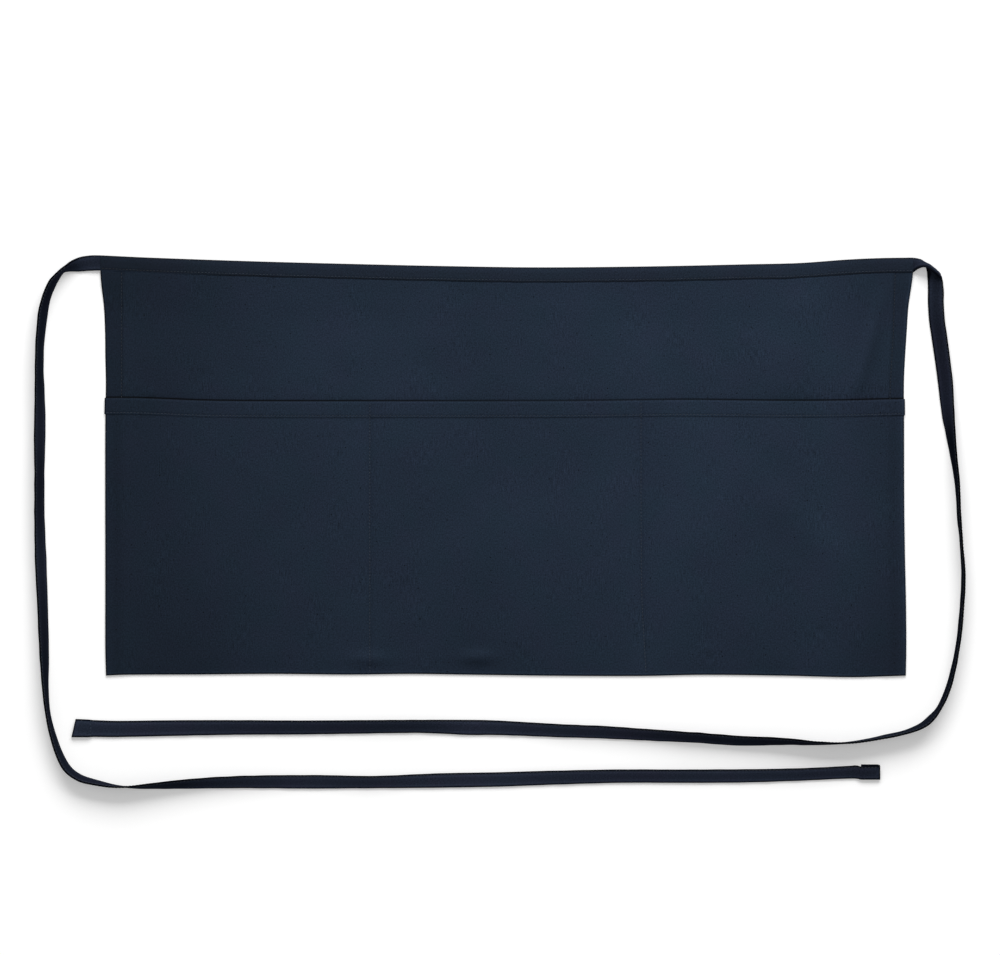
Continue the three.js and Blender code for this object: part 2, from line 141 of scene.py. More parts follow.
# How finely the meshes are cut
COLUMN_STEP = 2.5
ROW_STEP = 2.5
BAND_STATION = 2.0
TIE_STATION = 1.8
CAP_CLEAR = 0.03
SPLINE_SAMPLES = 6000
RIM = (0.0, 0.08, 0.3, 0.65, 1.2, 1.8, 2.6)
BESIDE_SEAM = (0.0, 0.35, 0.8, 1.4, 2.2, 3.4)
BESIDE_HEM = (0.0, 0.5, 1.0, 1.5, 2.0, 2.5, 3.0, 4.0)
BEHIND_MOUTH = (-3.0, -1.0, -0.3, 0.3, 0.7, 0.9, 1.15, 1.4, 1.9, 2.6, 3.6)
BESIDE_BAND_EDGE = (-2.6, -1.6, -1.0, -0.6, -0.2, 0.3, 2.0)
BACK_TOP_ROWS = (3.2, 3.0, BACK_BELOW_TOP)
BESIDE_MOUTH_ROW = (-3.0, -1.6, -0.9, -0.5, -0.1, 0.3, 0.6, 0.9, 1.2, 1.8, 3.0)
ABOVE_FOOT = (5.0, 9.0)

# The photograph's frame: its middle and its width on the floor
VIEW_X, VIEW_Y, VIEW_WIDTH = -4.9, -8.2, 730.0
CAMERA_HIGH = 9000.0
SENSOR = 36.0

# Edge lines, columns as in the part's source
TOP_EDGE = np.array([
    (-1.00, 0.00), (-0.88, 0.19), (-0.63, 0.49), (-0.39, 0.71), (-0.14, 0.90), (0.08, 1.00),
    (0.35, 0.92), (0.60, 0.74), (0.72, 0.64), (0.84, 0.35), (0.92, 0.23), (1.00, 0.19),
])
BOTTOM_EDGE = np.array([
    (-1.00, 0.50), (-0.95, 0.26), (-0.77, 0.17), (-0.58, 0.00), (-0.39, 0.20), (-0.24, 0.00),
    (-0.08, 0.25), (0.11, 0.55), (0.32, 0.63), (0.49, 0.27), (0.70, 0.55), (0.86, 1.00),
    (0.97, 0.65), (1.00, 0.50),
])
SIDE_LINES = np.array([
    (0.00, 0.38, 0.20), (0.07, 0.46, 0.26), (0.18, 0.46, 0.22), (0.30, 0.46, 0.10),
    (0.42, 0.47, 0.03), (0.60, 0.46, 0.01), (0.70, 0.40, 0.00), (0.76, 0.46, 0.13),
    (0.82, 0.49, 0.31), (0.88, 0.62, 0.50), (0.93, 0.90, 0.84), (0.96, 1.00, 1.00),
    (1.00, 1.00, 1.00),
])
MOUTH_LINE = np.array([
    (-1.00, 0.00), (-0.92, 0.05), (-0.72, 0.75), (-0.30, 0.85), (0.15, 0.80), (0.45, 0.50),
    (0.70, 0.75), (0.85, 0.65), (0.95, 0.40), (1.00, 0.30),
])
POCKET_SEAMS = np.array([-1.0, -0.341, 0.338, 1.0])

# The right divider leans outward toward the bottom: share of its height, and millimetres
SEAM_LEAN = np.array([(0.0, 3.4), (0.16, 1.3), (0.3, 0.1), (0.45, 0.0), (1.0, 0.0)])
LEAN_SPREAD = 40.0

# Soft swells in the cloth: middle x and y, turn in degrees, half length, half width, height
BACK_SWELLS = [
    (263.5, 84.0, 75.0, 42.0, 5.5, 2.3),
    (214.0, 96.0, 82.0, 50.0, 17.0, 1.5),
    (-40.0, 100.0, 8.0, 120.0, 22.0, 0.6),
    (110.0, 84.0, -5.0, 110.0, 24.0, 0.6),
]
POCKET_SWELLS = [
    (207.0, -36.0, -46.0, 52.0, 17.0, 2.0),
    (197.0, 16.0, -80.0, 38.0, 18.0, 1.4),
    (128.0, 10.0, -75.0, 45.0, 16.0, 1.0),
    (-21.5, -139.5, 0.0, 12.0, 4.6, 2.1),
    (-100.5, -140.7, 0.0, 13.0, 4.4, 1.7),
    (-200.0, -60.0, 60.0, 80.0, 26.0, 0.8),
    (20.0, -50.0, 15.0, 90.0, 24.0, 0.7),
]

# Where the side hems' stitches run: y, then x on the left and on the right
SIDE_ROWS = np.array([
    (-154.0, -281.4, 279.4), (50.0, -281.1, 279.8), (98.0, -281.1, 282.2), (142.0, -281.1, 283.6),
])

# Places where the mouth gapes: x and half width
MOUTH_GAPES = [(-254.0, 14.0), (-108.0, 10.0), (60.0, 8.0), (207.0, 26.0)]

# The ties as they lie: out, up, roll and width, as in the part's source
LEFT_TIE = [
    (0.3, 0.0, 0, 1.0), (6.1, -0.1, 0, 1.02), (9.8, -0.4, 6, 1.0), (13.4, -0.9, 16, 1.0),
    (17.0, -1.7, 31, 0.98), (20.6, -2.6, 44, 0.92), (24.0, -3.9, 59, 0.82),
    (27.4, -5.5, 71, 0.78), (30.2, -8.4, 70, 0.86), (32.6, -11.5, 65, 0.92),
    (34.8, -14.5, 63, 1.0), (37.9, -21.2, 62, 1.0), (40.1, -28.3, 60, 1.0),
    (42.2, -39.1, 57, 1.0), (44.3, -62.0, 62, 1.0), (44.4, -82.8, 60, 1.0),
    (44.1, -104.0, 52, 1.0), (44.2, -126.6, 48, 1.0), (44.4, -152.1, 56, 1.0),
    (44.4, -185.0, 54, 1.0), (43.4, -217.8, 47, 1.0), (42.1, -250.0, 53, 1.0),
    (40.9, -283.5, 58, 1.0), (40.3, -305.4, 69, 1.0), (38.9, -323.7, 76, 1.0),
    (36.3, -338.0, 73, 0.95), (31.0, -355.5, 66, 0.95), (24.3, -368.6, 63, 0.95),
    (15.6, -375.6, 66, 0.95), (4.6, -378.9, 72, 0.95), (-6.1, -381.2, 80, 0.95),
    (-16.9, -382.3, 90, 0.95), (-28.0, -382.3, 101, 0.95), (-46.2, -381.2, 116, 0.95),
    (-71.7, -379.8, 132, 0.95), (-104.5, -378.8, 145, 0.95), (-155.6, -378.7, 159, 0.92),
    (-199.4, -378.9, 152, 0.88), (-246.9, -377.8, 164, 0.95), (-290.7, -377.0, 165, 0.95),
    (-334.5, -375.6, 160, 0.94), (-378.3, -374.6, 157, 0.92), (-422.0, -374.6, 156, 0.92),
    (-465.9, -374.4, 156, 0.92), (-509.6, -373.4, 152, 0.90), (-542.5, -371.9, 154, 0.88),
    (-556.5, -371.4, 165, 0.92), (-569.2, -371.2, 172, 0.94),
]
RIGHT_FOLD = [
    ((0.4, 5.4, 1.8), (0.4, 0.2, 1.8), (0.4, -5.0, 1.8)),
    ((3.1, 5.0, 1.3), (3.1, 1.2, 2.4), (2.8, -2.9, 4.0)),
    ((6.2, 3.2, 0.9), (7.2, 1.4, 3.8), (6.4, -1.4, 7.0)),
    ((8.7, -0.2, 0.8), (11.0, 0.5, 4.2), (9.9, -1.9, 7.8)),
    ((9.6, -2.8, 0.7), (14.5, -1.9, 4.0), (13.6, -4.8, 6.4)),
    ((10.2, -5.4, 0.7), (18.0, -5.0, 3.0), (17.8, -8.0, 4.8)),
    ((10.5, -8.6, 0.7), (18.6, -8.8, 2.0), (20.8, -11.4, 3.0)),
    ((10.9, -12.8, 0.7), (17.0, -14.0, 1.1), (21.9, -15.8, 1.8)),
    ((11.1, -19.0, 0.7), (16.8, -20.0, 0.8), (22.3, -21.0, 1.0)),
]
RIGHT_TIE = [
    (16.6, -27.5, 176, 1.0), (17.5, -41.0, 171, 1.0), (19.1, -51.8, 170, 1.0),
    (22.1, -73.5, 167, 0.98), (23.8, -88.0, 162, 0.98), (25.3, -106.2, 145, 0.96),
    (27.2, -122.0, 128, 0.96), (29.5, -138.8, 112, 0.98), (32.2, -160.0, 103, 1.0),
    (33.4, -182.4, 99, 1.0), (35.2, -204.3, 96, 1.0), (36.6, -226.1, 99, 1.0),
    (35.6, -248.0, 100, 1.0), (33.6, -270.0, 100, 1.0), (30.4, -289.5, 101, 1.0),
    (26.0, -307.2, 104, 1.0), (19.5, -322.3, 103, 1.0), (11.5, -332.2, 110, 1.0),
    (3.0, -337.7, 105, 1.0), (-8.5, -341.5, 100, 1.0), (-23.0, -344.6, 98, 1.0),
    (-38.5, -347.5, 93, 1.0), (-53.9, -348.9, 88, 1.0), (-72.1, -348.8, 79, 1.0),
    (-94.0, -347.5, 66, 1.0), (-126.9, -347.0, 53, 1.0), (-159.0, -344.7, 50, 1.0),
    (-192.3, -342.8, 41, 0.96), (-225.4, -340.9, 35, 0.96), (-258.1, -339.7, 30, 0.95),
    (-301.9, -337.7, 16, 0.95), (-323.7, -337.4, 12, 0.98), (-360.2, -336.6, 26, 0.92),
    (-404.0, -337.0, 25, 0.94), (-447.8, -337.4, 20, 0.94), (-491.6, -337.4, 16, 0.96),
    (-535.4, -337.8, 10, 1.0), (-579.2, -338.5, 6, 1.03), (-597.6, -338.2, 3, 1.06),
    (-612.8, -337.9, 0, 1.1),
]


# Reading the tables

def curve(table, column, at):
    """A table's column at any key, on the smooth curve through its rows."""
    keys, values = table[:, 0], table[:, column]
    slopes = np.gradient(values) / np.gradient(keys)
    place = np.clip(at, keys[0], keys[-1])
    i = np.clip(np.searchsorted(keys, place) - 1, 0, len(keys) - 2)
    span = keys[i + 1] - keys[i]
    t = (place - keys[i]) / span
    rise = values[i + 1] - values[i]
    first, last = slopes[i] * span, slopes[i + 1] * span
    return values[i] + t * first + t**2 * (3 * rise - 2 * first - last) + t**3 * (first + last - 2 * rise)


def smoothstep(at, low, high):
    t = np.clip((at - low) / (high - low), 0, 1)
    return t * t * (3 - 2 * t)


def hump(distance, width):
    return np.exp(-((distance / width) ** 2))


def side_reach(across, y):
    up = (y - FOOT) / APRON_HEIGHT
    flare = np.where(across < 0, curve(SIDE_LINES, 1, up), curve(SIDE_LINES, 2, up))
    return HALF + CORNER_FLARE * flare


def top_y(across):
    return FOOT + APRON_HEIGHT - BAND_SAG * curve(TOP_EDGE, 1, across)


def bottom_y(across):
    return FOOT + EDGE_WAVE * (1 - curve(BOTTOM_EDGE, 1, across))


def mouth_y(across):
    return FOOT + POCKET_DEPTH - MOUTH_DROP - MOUTH_SAG * curve(MOUTH_LINE, 1, across)


def band_low_y(across):
    return top_y(across) - STRIP_WIDTH


def seam_lean(across, y):
    """How far the cloth beside the right divider is drawn outward with it."""
    up = (y - FOOT) / POCKET_DEPTH
    return curve(SEAM_LEAN, 1, up) * hump((across - POCKET_SEAMS[2]) * HALF, LEAN_SPREAD)


def across_x(across, y):
    return across * side_reach(across, y) + seam_lean(across, y)


# A ripple is a sum of waves of many directions, each some way off the asked length
RIPPLE_WAVES = 14
RIPPLE_SPREAD = (0.7, 1.6)
RIPPLE_REACH = 5.0


def ripple(x, y, seed, wave):
    """Smooth unevenness between about -1 and 1, the same in each run."""
    draw = np.random.RandomState(seed)
    total = np.zeros(np.broadcast(x, y).shape)
    for _ in range(RIPPLE_WAVES):
        angle, phase = draw.uniform(0, math.tau), draw.uniform(0, math.tau)
        count = math.tau / (wave * draw.uniform(*RIPPLE_SPREAD))
        total = total + np.sin(count * (x * math.cos(angle) + y * math.sin(angle)) + phase)
    return total / RIPPLE_REACH


def swells(table, x, y):
    total = 0.0
    for middle_x, middle_y, turn, half_length, half_width, height in table:
        c, s = math.cos(math.radians(turn)), math.sin(math.radians(turn))
        along = (x - middle_x) * c + (y - middle_y) * s
        aside = (y - middle_y) * c - (x - middle_x) * s
        total = total + height * hump(along, half_length) * hump(aside, half_width)
    return total


# Grids

def spread_columns(lines, step):
    """Shares across, with set distances beside each named line and even steps between."""
    fixed = sorted({
        round(line + side * distance / HALF, 6)
        for line, distances in lines for distance in distances for side in (-1, 1)
        if abs(line + side * distance / HALF) <= 1
    })
    shares = []
    for low, high in zip(fixed, fixed[1:]):
        shares.extend(np.linspace(low, high, max(1, round((high - low) * HALF / step)), endpoint=False))
    return np.array([*shares, fixed[-1]])


def spread_rows(marks, step):
    """Heights of the rows, each an array over the columns, with even steps between the marks."""
    rows = []
    for low, high in zip(marks, marks[1:]):
        count = max(1, round(float(np.mean(high - low)) / step))
        rows.extend(low + (high - low) * k / count for k in range(count))
    return np.array([*rows, marks[-1]])


def placed(name, data):
    made = bpy.data.objects.new(name, data)
    bpy.context.scene.collection.objects.link(made)
    return made


def mesh_object(name, points, faces, weave, painted_shade_and_tone, material):
    mesh = bpy.data.meshes.new(name)
    mesh.from_pydata((np.asarray(points) * MM).tolist(), [], faces)
    # A point value of painted shade and light for the cloth, or of the stitches' own tone
    mesh.attributes.new("weave", "FLOAT_VECTOR", "POINT").data.foreach_set(
        "vector", (np.asarray(weave) * MM).astype(np.float32).ravel())
    mesh.attributes.new("painted_shade_and_tone", "FLOAT", "POINT").data.foreach_set(
        "value", np.asarray(painted_shade_and_tone).astype(np.float32).ravel())
    mesh.shade_smooth()
    mesh.materials.append(material)
    made = placed(name, mesh)
    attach(made, "root")
    return made


def sheet_object(name, x, y, faces_z, rim, shape, top_painted_shade, under_painted_shade, material):
    """A closed piece of cloth: two faces of one grid, drawn together at the rim that they share, each face
    with its painted shade and light.
    """
    under, top = (rim + (z - rim) * shape for z in faces_z)
    rows, columns = x.shape
    inner = np.zeros((rows, columns), bool)
    inner[1:-1, 1:-1] = True
    over_at = np.arange(rows * columns).reshape(rows, columns)
    under_at = over_at.copy()
    under_at[inner] = rows * columns + np.arange(inner.sum())
    points = np.concatenate([
        np.stack([x, y, top], -1).reshape(-1, 3),
        np.stack([x, y, under], -1)[inner],
    ])
    painted_shade_and_tone = np.concatenate([top_painted_shade.ravel(), under_painted_shade[inner]])
    weave = points * (1, 1, 0)

    def quads(at, flip):
        corners = [at[:-1, :-1], at[:-1, 1:], at[1:, 1:], at[1:, :-1]]
        if flip:
            corners.reverse()
        return np.stack(corners, -1).reshape(-1, 4)

    faces = np.concatenate([quads(over_at, False), quads(under_at, True)]).tolist()
    return mesh_object(name, points, faces, weave, painted_shade_and_tone, material)


def rounded(distance, reach):
    """From 0 at a rim to 1 inside it, on a quarter circle."""
    inside = np.clip(1 - distance / reach, 0, 1)
    return np.sqrt(1 - inside**2)


# Materials

def new_material(name):
    material = bpy.data.materials.new(name)
    material.use_nodes = True
    tree = material.node_tree
    return material, tree, tree.nodes["Principled BSDF"]


def set_inputs(node, values):
    for name, value in values.items():
        node.inputs[name].default_value = value


def put(tree, socket, value):
    if isinstance(value, bpy.types.NodeSocket):
        tree.links.new(value, socket)
    else:
        socket.default_value = value


def maths(tree, operation, first, second=0.0):
    node = tree.nodes.new("ShaderNodeMath")
    node.operation = operation
    put(tree, node.inputs[0], first)
    put(tree, node.inputs[1], second)
    return node.outputs[0]


def from_range(tree, value, low, high, to_low, to_high):
    node = tree.nodes.new("ShaderNodeMapRange")
    set_inputs(node, {"From Min": low, "From Max": high, "To Min": to_low, "To Max": to_high})
    put(tree, node.inputs["Value"], value)
    return node.outputs["Result"]


def plus_share(tree, base, value, share):
    """A base value with a share of another added to it."""
    return maths(tree, "ADD", base, maths(tree, "MULTIPLY", value, share))


def stretched(tree, vector, scales):
    """The cloth's own place, scaled across it and along it."""
    node = tree.nodes.new("ShaderNodeVectorMath")
    node.operation = "MULTIPLY"
    tree.links.new(vector, node.inputs[0])
    node.inputs[1].default_value = (*scales, 0.0)
    return node.outputs[0]


def noise(tree, vector, scales, detail=2.0, rough=0.5):
    node = tree.nodes.new("ShaderNodeTexNoise")
    set_inputs(node, {"Scale": 1.0, "Detail": detail, "Roughness": rough})
    tree.links.new(stretched(tree, vector, scales), node.inputs["Vector"])
    return node.outputs["Fac"]


def uneven_noise(tree, vector, scales, detail=1.0, rough=0.5):
    """Noise that goes as far below nought as above it."""
    return maths(tree, "SUBTRACT", noise(tree, vector, scales, detail, rough), 0.5)


def attribute(tree, name, output):
    node = tree.nodes.new("ShaderNodeAttribute")
    node.attribute_name = name
    return node.outputs[output]


def weave_axes(tree):
    """The cloth's own place, and its two parts across the cloth and along it."""
    weave = attribute(tree, "weave", "Vector")
    split = tree.nodes.new("ShaderNodeSeparateXYZ")
    tree.links.new(weave, split.inputs[0])
    return weave, split.outputs[0], split.outputs[1]


def paint(tree, shader, colour, shade):
    """Base colour: a colour made lighter or darker by a shade."""
    node = tree.nodes.new("ShaderNodeVectorMath")
    node.operation = "SCALE"
    put(tree, node.inputs[0], colour)
    tree.links.new(shade, node.inputs["Scale"])
    tree.links.new(node.outputs[0], shader.inputs["Base Color"])


# Twill: a diagonal wale crossed by the picks, in metres
WALE_ACROSS = 0.00078
WALE_UP = 0.00142
PICK = 0.00047
WEAVE_DEEP = 0.00018

# The sewing thread's twist, also in metres
THREAD_TWIST = 0.0004
THREAD_DEEP = 0.00006

# How strong the weave's bump is, how rough its valleys and wales are, and the sheen that goes with gloss
WEAVE_RELIEF = 0.55
TWILL_ROUGH = (0.96, 0.82)
SHEEN_SHARE = 0.15

# How often each unevenness comes round in a metre, across the cloth and along it
WALE_WANDERS = (260.0, 140.0)
YARNS = (2600.0, 700.0)
SLUB_PATCHES = (38.0, 30.0)
SLUBS = (1250.0, 150.0)
MOTTLING = (11.0, 9.0)
GRAIN = (1150.0, 850.0)
FLECKS = (95.0, 95.0)
HUES = (34.0, 34.0)

# How far the wales wander, and how much each unevenness shows in the relief and in the shade
WANDER_TURNS = 7.0
WALE_RELIEF, PICK_RELIEF, YARN_RELIEF = 0.32, 0.12, 0.5
MOTTLE_SHOWS, GRAIN_SHOWS, WALE_SHOWS = 0.36, 1.5, 0.1
FLECK_EDGE = (0.025, 0.05)
FLECKS_LEFT_OUT = 0.82
SLUB_PATCH_RANGE = (0.48, 0.66, 0.15, 1.0)
HUE_RANGE = (0.35, 0.65, 0.0, 1.0)

# The dye is a little uneven: shares of its red, green and blue
GREENER = (0.95, 1.015, 0.99)
REDDER = (1.05, 0.985, 1.01)


def raised(tree, shader, relief, strength, depth):
    """Bump from a relief value, its depth in metres."""
    bump = tree.nodes.new("ShaderNodeBump")
    set_inputs(bump, {"Strength": strength, "Distance": depth})
    tree.links.new(relief, bump.inputs["Height"])
    tree.links.new(bump.outputs[0], shader.inputs["Normal"])


def cloth_material(name, colour, streak, speck, gloss=0.1):
    """Matte twill: diagonal wales, slubs along the warp, soft mottling and a few specks."""
    material, tree, shader = new_material(name)
    weave, across, along = weave_axes(tree)
    phase = maths(tree, "ADD", maths(tree, "MULTIPLY", across, math.tau / WALE_ACROSS),
                  maths(tree, "MULTIPLY", along, math.tau / WALE_UP))
    phase = plus_share(tree, phase, noise(tree, weave, WALE_WANDERS), WANDER_TURNS)
    wale = maths(tree, "SINE", phase)
    pick = maths(tree, "SINE", maths(tree, "MULTIPLY", along, math.tau / PICK))
    relief = plus_share(tree, maths(tree, "MULTIPLY", wale, WALE_RELIEF), pick, PICK_RELIEF)
    relief = plus_share(tree, relief, noise(tree, weave, YARNS, 1.0), YARN_RELIEF)

    patches = from_range(tree, noise(tree, weave, SLUB_PATCHES, 1.0), *SLUB_PATCH_RANGE)
    slub = maths(tree, "MULTIPLY", uneven_noise(tree, weave, SLUBS, rough=0.6), patches)
    shade = plus_share(tree, 1.0, slub, streak)
    shade = plus_share(tree, shade, uneven_noise(tree, weave, MOTTLING, 2.0), MOTTLE_SHOWS)
    shade = plus_share(tree, shade, uneven_noise(tree, weave, GRAIN, rough=0.7), GRAIN_SHOWS)
    shade = plus_share(tree, shade, wale, WALE_SHOWS)
    fleck = tree.nodes.new("ShaderNodeTexVoronoi")
    fleck.voronoi_dimensions = "2D"
    set_inputs(fleck, {"Scale": 1.0})
    tree.links.new(stretched(tree, weave, FLECKS), fleck.inputs["Vector"])
    spot = from_range(tree, fleck.outputs["Distance"], *FLECK_EDGE, 1.0, 0.0)
    chosen = tree.nodes.new("ShaderNodeSeparateColor")
    tree.links.new(fleck.outputs["Color"], chosen.inputs[0])
    kept = maths(tree, "GREATER_THAN", chosen.outputs[0], FLECKS_LEFT_OUT)
    spot = maths(tree, "MULTIPLY", spot, kept)
    shade = maths(tree, "SUBTRACT", shade, maths(tree, "MULTIPLY", spot, speck))
    # The painted shade and light carried on the mesh darken or lighten the cloth here
    shade = maths(tree, "MULTIPLY", shade, attribute(tree, "painted_shade_and_tone", "Fac"))

    hue = from_range(tree, noise(tree, weave, HUES), *HUE_RANGE)
    blend = tree.nodes.new("ShaderNodeMix")
    blend.data_type = "VECTOR"
    blend.inputs[4].default_value = tuple(c * k for c, k in zip(colour, GREENER))
    blend.inputs[5].default_value = tuple(c * k for c, k in zip(colour, REDDER))
    tree.links.new(hue, blend.inputs[0])
    paint(tree, shader, blend.outputs[1], shade)
    tree.links.new(from_range(tree, wale, -1.0, 1.0, *TWILL_ROUGH), shader.inputs["Roughness"])
    set_inputs(shader, {
        "Specular IOR Level": gloss, "Sheen Weight": SHEEN_SHARE * gloss, "Sheen Roughness": 0.5})
    raised(tree, shader, relief, WEAVE_RELIEF, WEAVE_DEEP)
    return material


def thread_material(name, colour):
    """Sewing thread: a fine twist, a little shinier than the cloth."""
    material, tree, shader = new_material(name)
    _, around, along = weave_axes(tree)
    turns = maths(tree, "MULTIPLY", around, math.tau / THREAD_TWIST)
    twist = maths(tree, "SINE", plus_share(tree, turns, along, 2.0 / MM))
    shade = from_range(tree, twist, -1.0, 1.0, 0.8, 1.1)
    paint(tree, shader, colour, maths(tree, "MULTIPLY", attribute(tree, "painted_shade_and_tone", "Fac"), shade))
    set_inputs(shader, {"Roughness": 0.55, "Specular IOR Level": 0.3, "Sheen Weight": 0.05})
    raised(tree, shader, twist, 0.5, THREAD_DEEP)
    return material


# The dyed colours
PANEL_NAVY = (0.0158, 0.0270, 0.0478)
BAND_NAVY = (0.0130, 0.0207, 0.0358)
STRIP_NAVY = (0.0166, 0.0207, 0.0346)
THREAD_NAVY = (0.0185, 0.029, 0.047)

panel_cloth = cloth_material("panel_twill", PANEL_NAVY, streak=1.2, speck=0.85)
band_cloth = cloth_material("band_twill", BAND_NAVY, streak=0.4, speck=0.4)
strip_cloth = cloth_material("strip_twill", STRIP_NAVY, streak=0.3, speck=0.3, gloss=0.0)
thread = thread_material("sewing_thread", THREAD_NAVY)


# Shading that the cloth carries

# Painted light falloff over the cloth: how deep each painted shade is, and where it starts and is full
LEFT_HALF = (0.09, -120.0, 30.0)
FAR_LEFT = (0.25, 110.0, 275.0)
FAR_RIGHT = (0.19, 225.0, 280.0)
LOWER_HALF = (0.05, -60.0, 20.0)
LOW_DEPTH = 0.07
LOW_RIGHT = (0.06, 60.0, 160.0)
LOW_SPAN = (10.0, 150.0)
TOP_LEFT = (0.12, 225.0, 275.0)
TOP_SPAN = (90.0, 135.0)

# Painted edge lines, painted shade along each edge and a painted highlight just inside: how dark and how
# light on each side, and how far in from the edge
LEFT_LINE = (0.7, 0.08)
RIGHT_LINE = (0.2, 0.35)
BOTTOM_LINE = (0.55, 0.35)
DARK_LINE = (1.25, 0.6)
LIGHT_LINE = (1.7, 0.6)


def grown(at, depth, start, full):
    return depth * smoothstep(at, start, full)


def painted_light_falloff(x, y):
    """Painted light falloff: the cloth is painted lightest right of its middle and up, and darkest low at its
    left.
    """
    left = grown(-x, *LEFT_HALF) + grown(-x, *FAR_LEFT)
    right = grown(x, *FAR_RIGHT)
    low = grown(-y, *LOWER_HALF) + (LOW_DEPTH + grown(x, *LOW_RIGHT)) * smoothstep(-y, *LOW_SPAN)
    corner = grown(-x, *TOP_LEFT) * smoothstep(y, *TOP_SPAN)
    return (1 - left) * (1 - right) * (1 - low) * (1 - corner)


def painted_edge_shade_and_highlight(distance, depth, light):
    """Painted shade along the edge, with a thin painted highlight just inside."""
    at, width = LIGHT_LINE
    return 1 - depth * smoothstep(distance, *DARK_LINE) + light * hump(distance - at, width)


def panel_painted_shade(across, x, y):
    """Painted light falloff and painted edge lines: the left side has a dark one, the right a lighter one,
    the bottom both.
    """
    reach = side_reach(across, y)
    sides = painted_edge_shade_and_highlight(x + reach, *LEFT_LINE) * painted_edge_shade_and_highlight(reach - x, *RIGHT_LINE)
    return painted_light_falloff(x, y) * sides * painted_edge_shade_and_highlight(y - bottom_y(across), *BOTTOM_LINE)


def hem_beyond(x, y):
    """How far in from a side hem's stitches."""
    row = np.where(x < 0, -curve(SIDE_ROWS, 1, y), curve(SIDE_ROWS, 2, y))
    return row - np.abs(x)


def hem_share(x, y):
    return 1 - smoothstep(hem_beyond(x, y), HEM_START, HEM_START + HEM_SLOPE)


# Back panel

def back_parts(across, x, y):
    """Underside and top of the back panel before its rim is rounded."""
    low, mouth = band_low_y(across), mouth_y(across)
    calm = smoothstep(y, mouth + ABOVE_MOUTH[0], mouth + ABOVE_MOUTH[1])
    calm = calm * (1 - smoothstep(y, low - BELOW_BAND[0], low - BELOW_BAND[1]))
    calm = calm * smoothstep(HALF - np.abs(x), *FROM_SIDES)
    lift = BAND_LIFT * smoothstep(y, low - BAND_STEP, low - 1.0)
    uneven = BACK_UNEVEN * (1 + ripple(x, y, seed=3, wave=34.0)) + swells(BACK_SWELLS, x, y)
    under = FLOOR_CLEAR + lift + uneven * calm
    free = 1 - smoothstep(y, low - HEM_FADE[0], low - HEM_FADE[1])
    hem = hem_share(x, y) * free
    beyond = hem_beyond(x, y) - HEM_START
    turned = HEM_UNDER * smoothstep(beyond, 0.0, 0.4) * (1 - smoothstep(beyond, 1.0, 9.0)) * free
    row = GROOVE_DEPTH * SIDE_GROOVE_SHARE * hump(hem_beyond(x, y), SIDE_GROOVE_WIDTH) * (hem > 0)
    top = under + WALL + HEM_RISE * hem
    return under + turned, top + HEM_OVER * turned - row


# Shades of the back panel, most of them painted shade and light
POCKET_INSIDE = (-1.4, -0.7)
INSIDE_DARK = 0.86
INSIDE_LIGHTER = 0.3
INSIDE_LIGHTER_AT = (55.0, 130.0)
MOUTH_SHADE = 0.1
BAND_LIGHT = 0.15
LEAN_LIGHT = 0.2
HEM_SHADE = 0.16
HEM_ROW_SHADE = 0.1
BAND_SHADE = (0.05, 16)


def back_painted_shade(across, x, y):
    """Painted shade in the pockets, above the mouth and in the hems' stitch grooves, painted light below the
    band, painted light and shade on the flanks of the swells, and darker over the side hems and towards the
    band.
    """
    low, mouth = band_low_y(across), mouth_y(across)
    middle, width = INSIDE_LIGHTER_AT
    dark = INSIDE_DARK - INSIDE_LIGHTER * hump(x - middle, width)
    painted_shade_and_tone = panel_painted_shade(across, x, y) * (1 - dark * smoothstep(mouth - y, *POCKET_INSIDE))
    painted_shade_and_tone = painted_shade_and_tone * (1 - MOUTH_SHADE * hump(mouth - y + 1.0, 2.6) * (0.25 + 0.75 * mouth_gape(x)))
    painted_shade_and_tone = painted_shade_and_tone * (1 + BAND_LIGHT * hump(low - y - 0.1, 0.6) * (2 - smoothstep(x, *SEAM_SHOWS)))
    painted_shade_and_tone = painted_shade_and_tone * (1 + LEAN_LIGHT * (swells(BACK_SWELLS, x + 0.5, y) - swells(BACK_SWELLS, x - 0.5, y)))
    painted_shade_and_tone = painted_shade_and_tone * (1 - HEM_SHADE * hem_share(x, y)) * (1 - HEM_ROW_SHADE * hump(hem_beyond(x, y), 0.7))
    depth, reach = BAND_SHADE
    return painted_shade_and_tone * (1 - depth * smoothstep(y, low - reach, low))


def make_back_panel():
    hem_at = SIDE_HEM / HALF
    across = spread_columns(
        [(-1.0, RIM), (1.0, RIM), (-1 + hem_at, BESIDE_HEM), (1 - hem_at, BESIDE_HEM)], COLUMN_STEP)
    foot, mouth, low, head = bottom_y(across), mouth_y(across), band_low_y(across), top_y(across)
    y = spread_rows([
        *(foot + d for d in RIM), *(mouth + d for d in BEHIND_MOUTH),
        *(low + d for d in BESIDE_BAND_EDGE), *(head - d for d in BACK_TOP_ROWS),
    ], ROW_STEP)
    across = np.broadcast_to(across, y.shape)
    x = across_x(across, y)
    under, top = back_parts(across, x, y)
    pocketed = 1 - smoothstep(y, mouth_y(across) + POCKETED[0], mouth_y(across) + POCKETED[1])
    beside = side_reach(across, y) - np.abs(x)
    below = y - bottom_y(across)
    above = top_y(across) - BACK_BELOW_TOP - y
    inward = np.minimum(np.minimum(beside, below), above)
    rim = (under + top) / 2 * (1 - pocketed) + (top - 0.1) * pocketed
    shape = rounded(inward, RIM_ROUND)
    return sheet_object(
        "back_panel_cloth", x, y, (under, top), rim, shape,
        back_painted_shade(across, x, y), panel_painted_shade(across, x, y), panel_cloth)


# Pocket panel

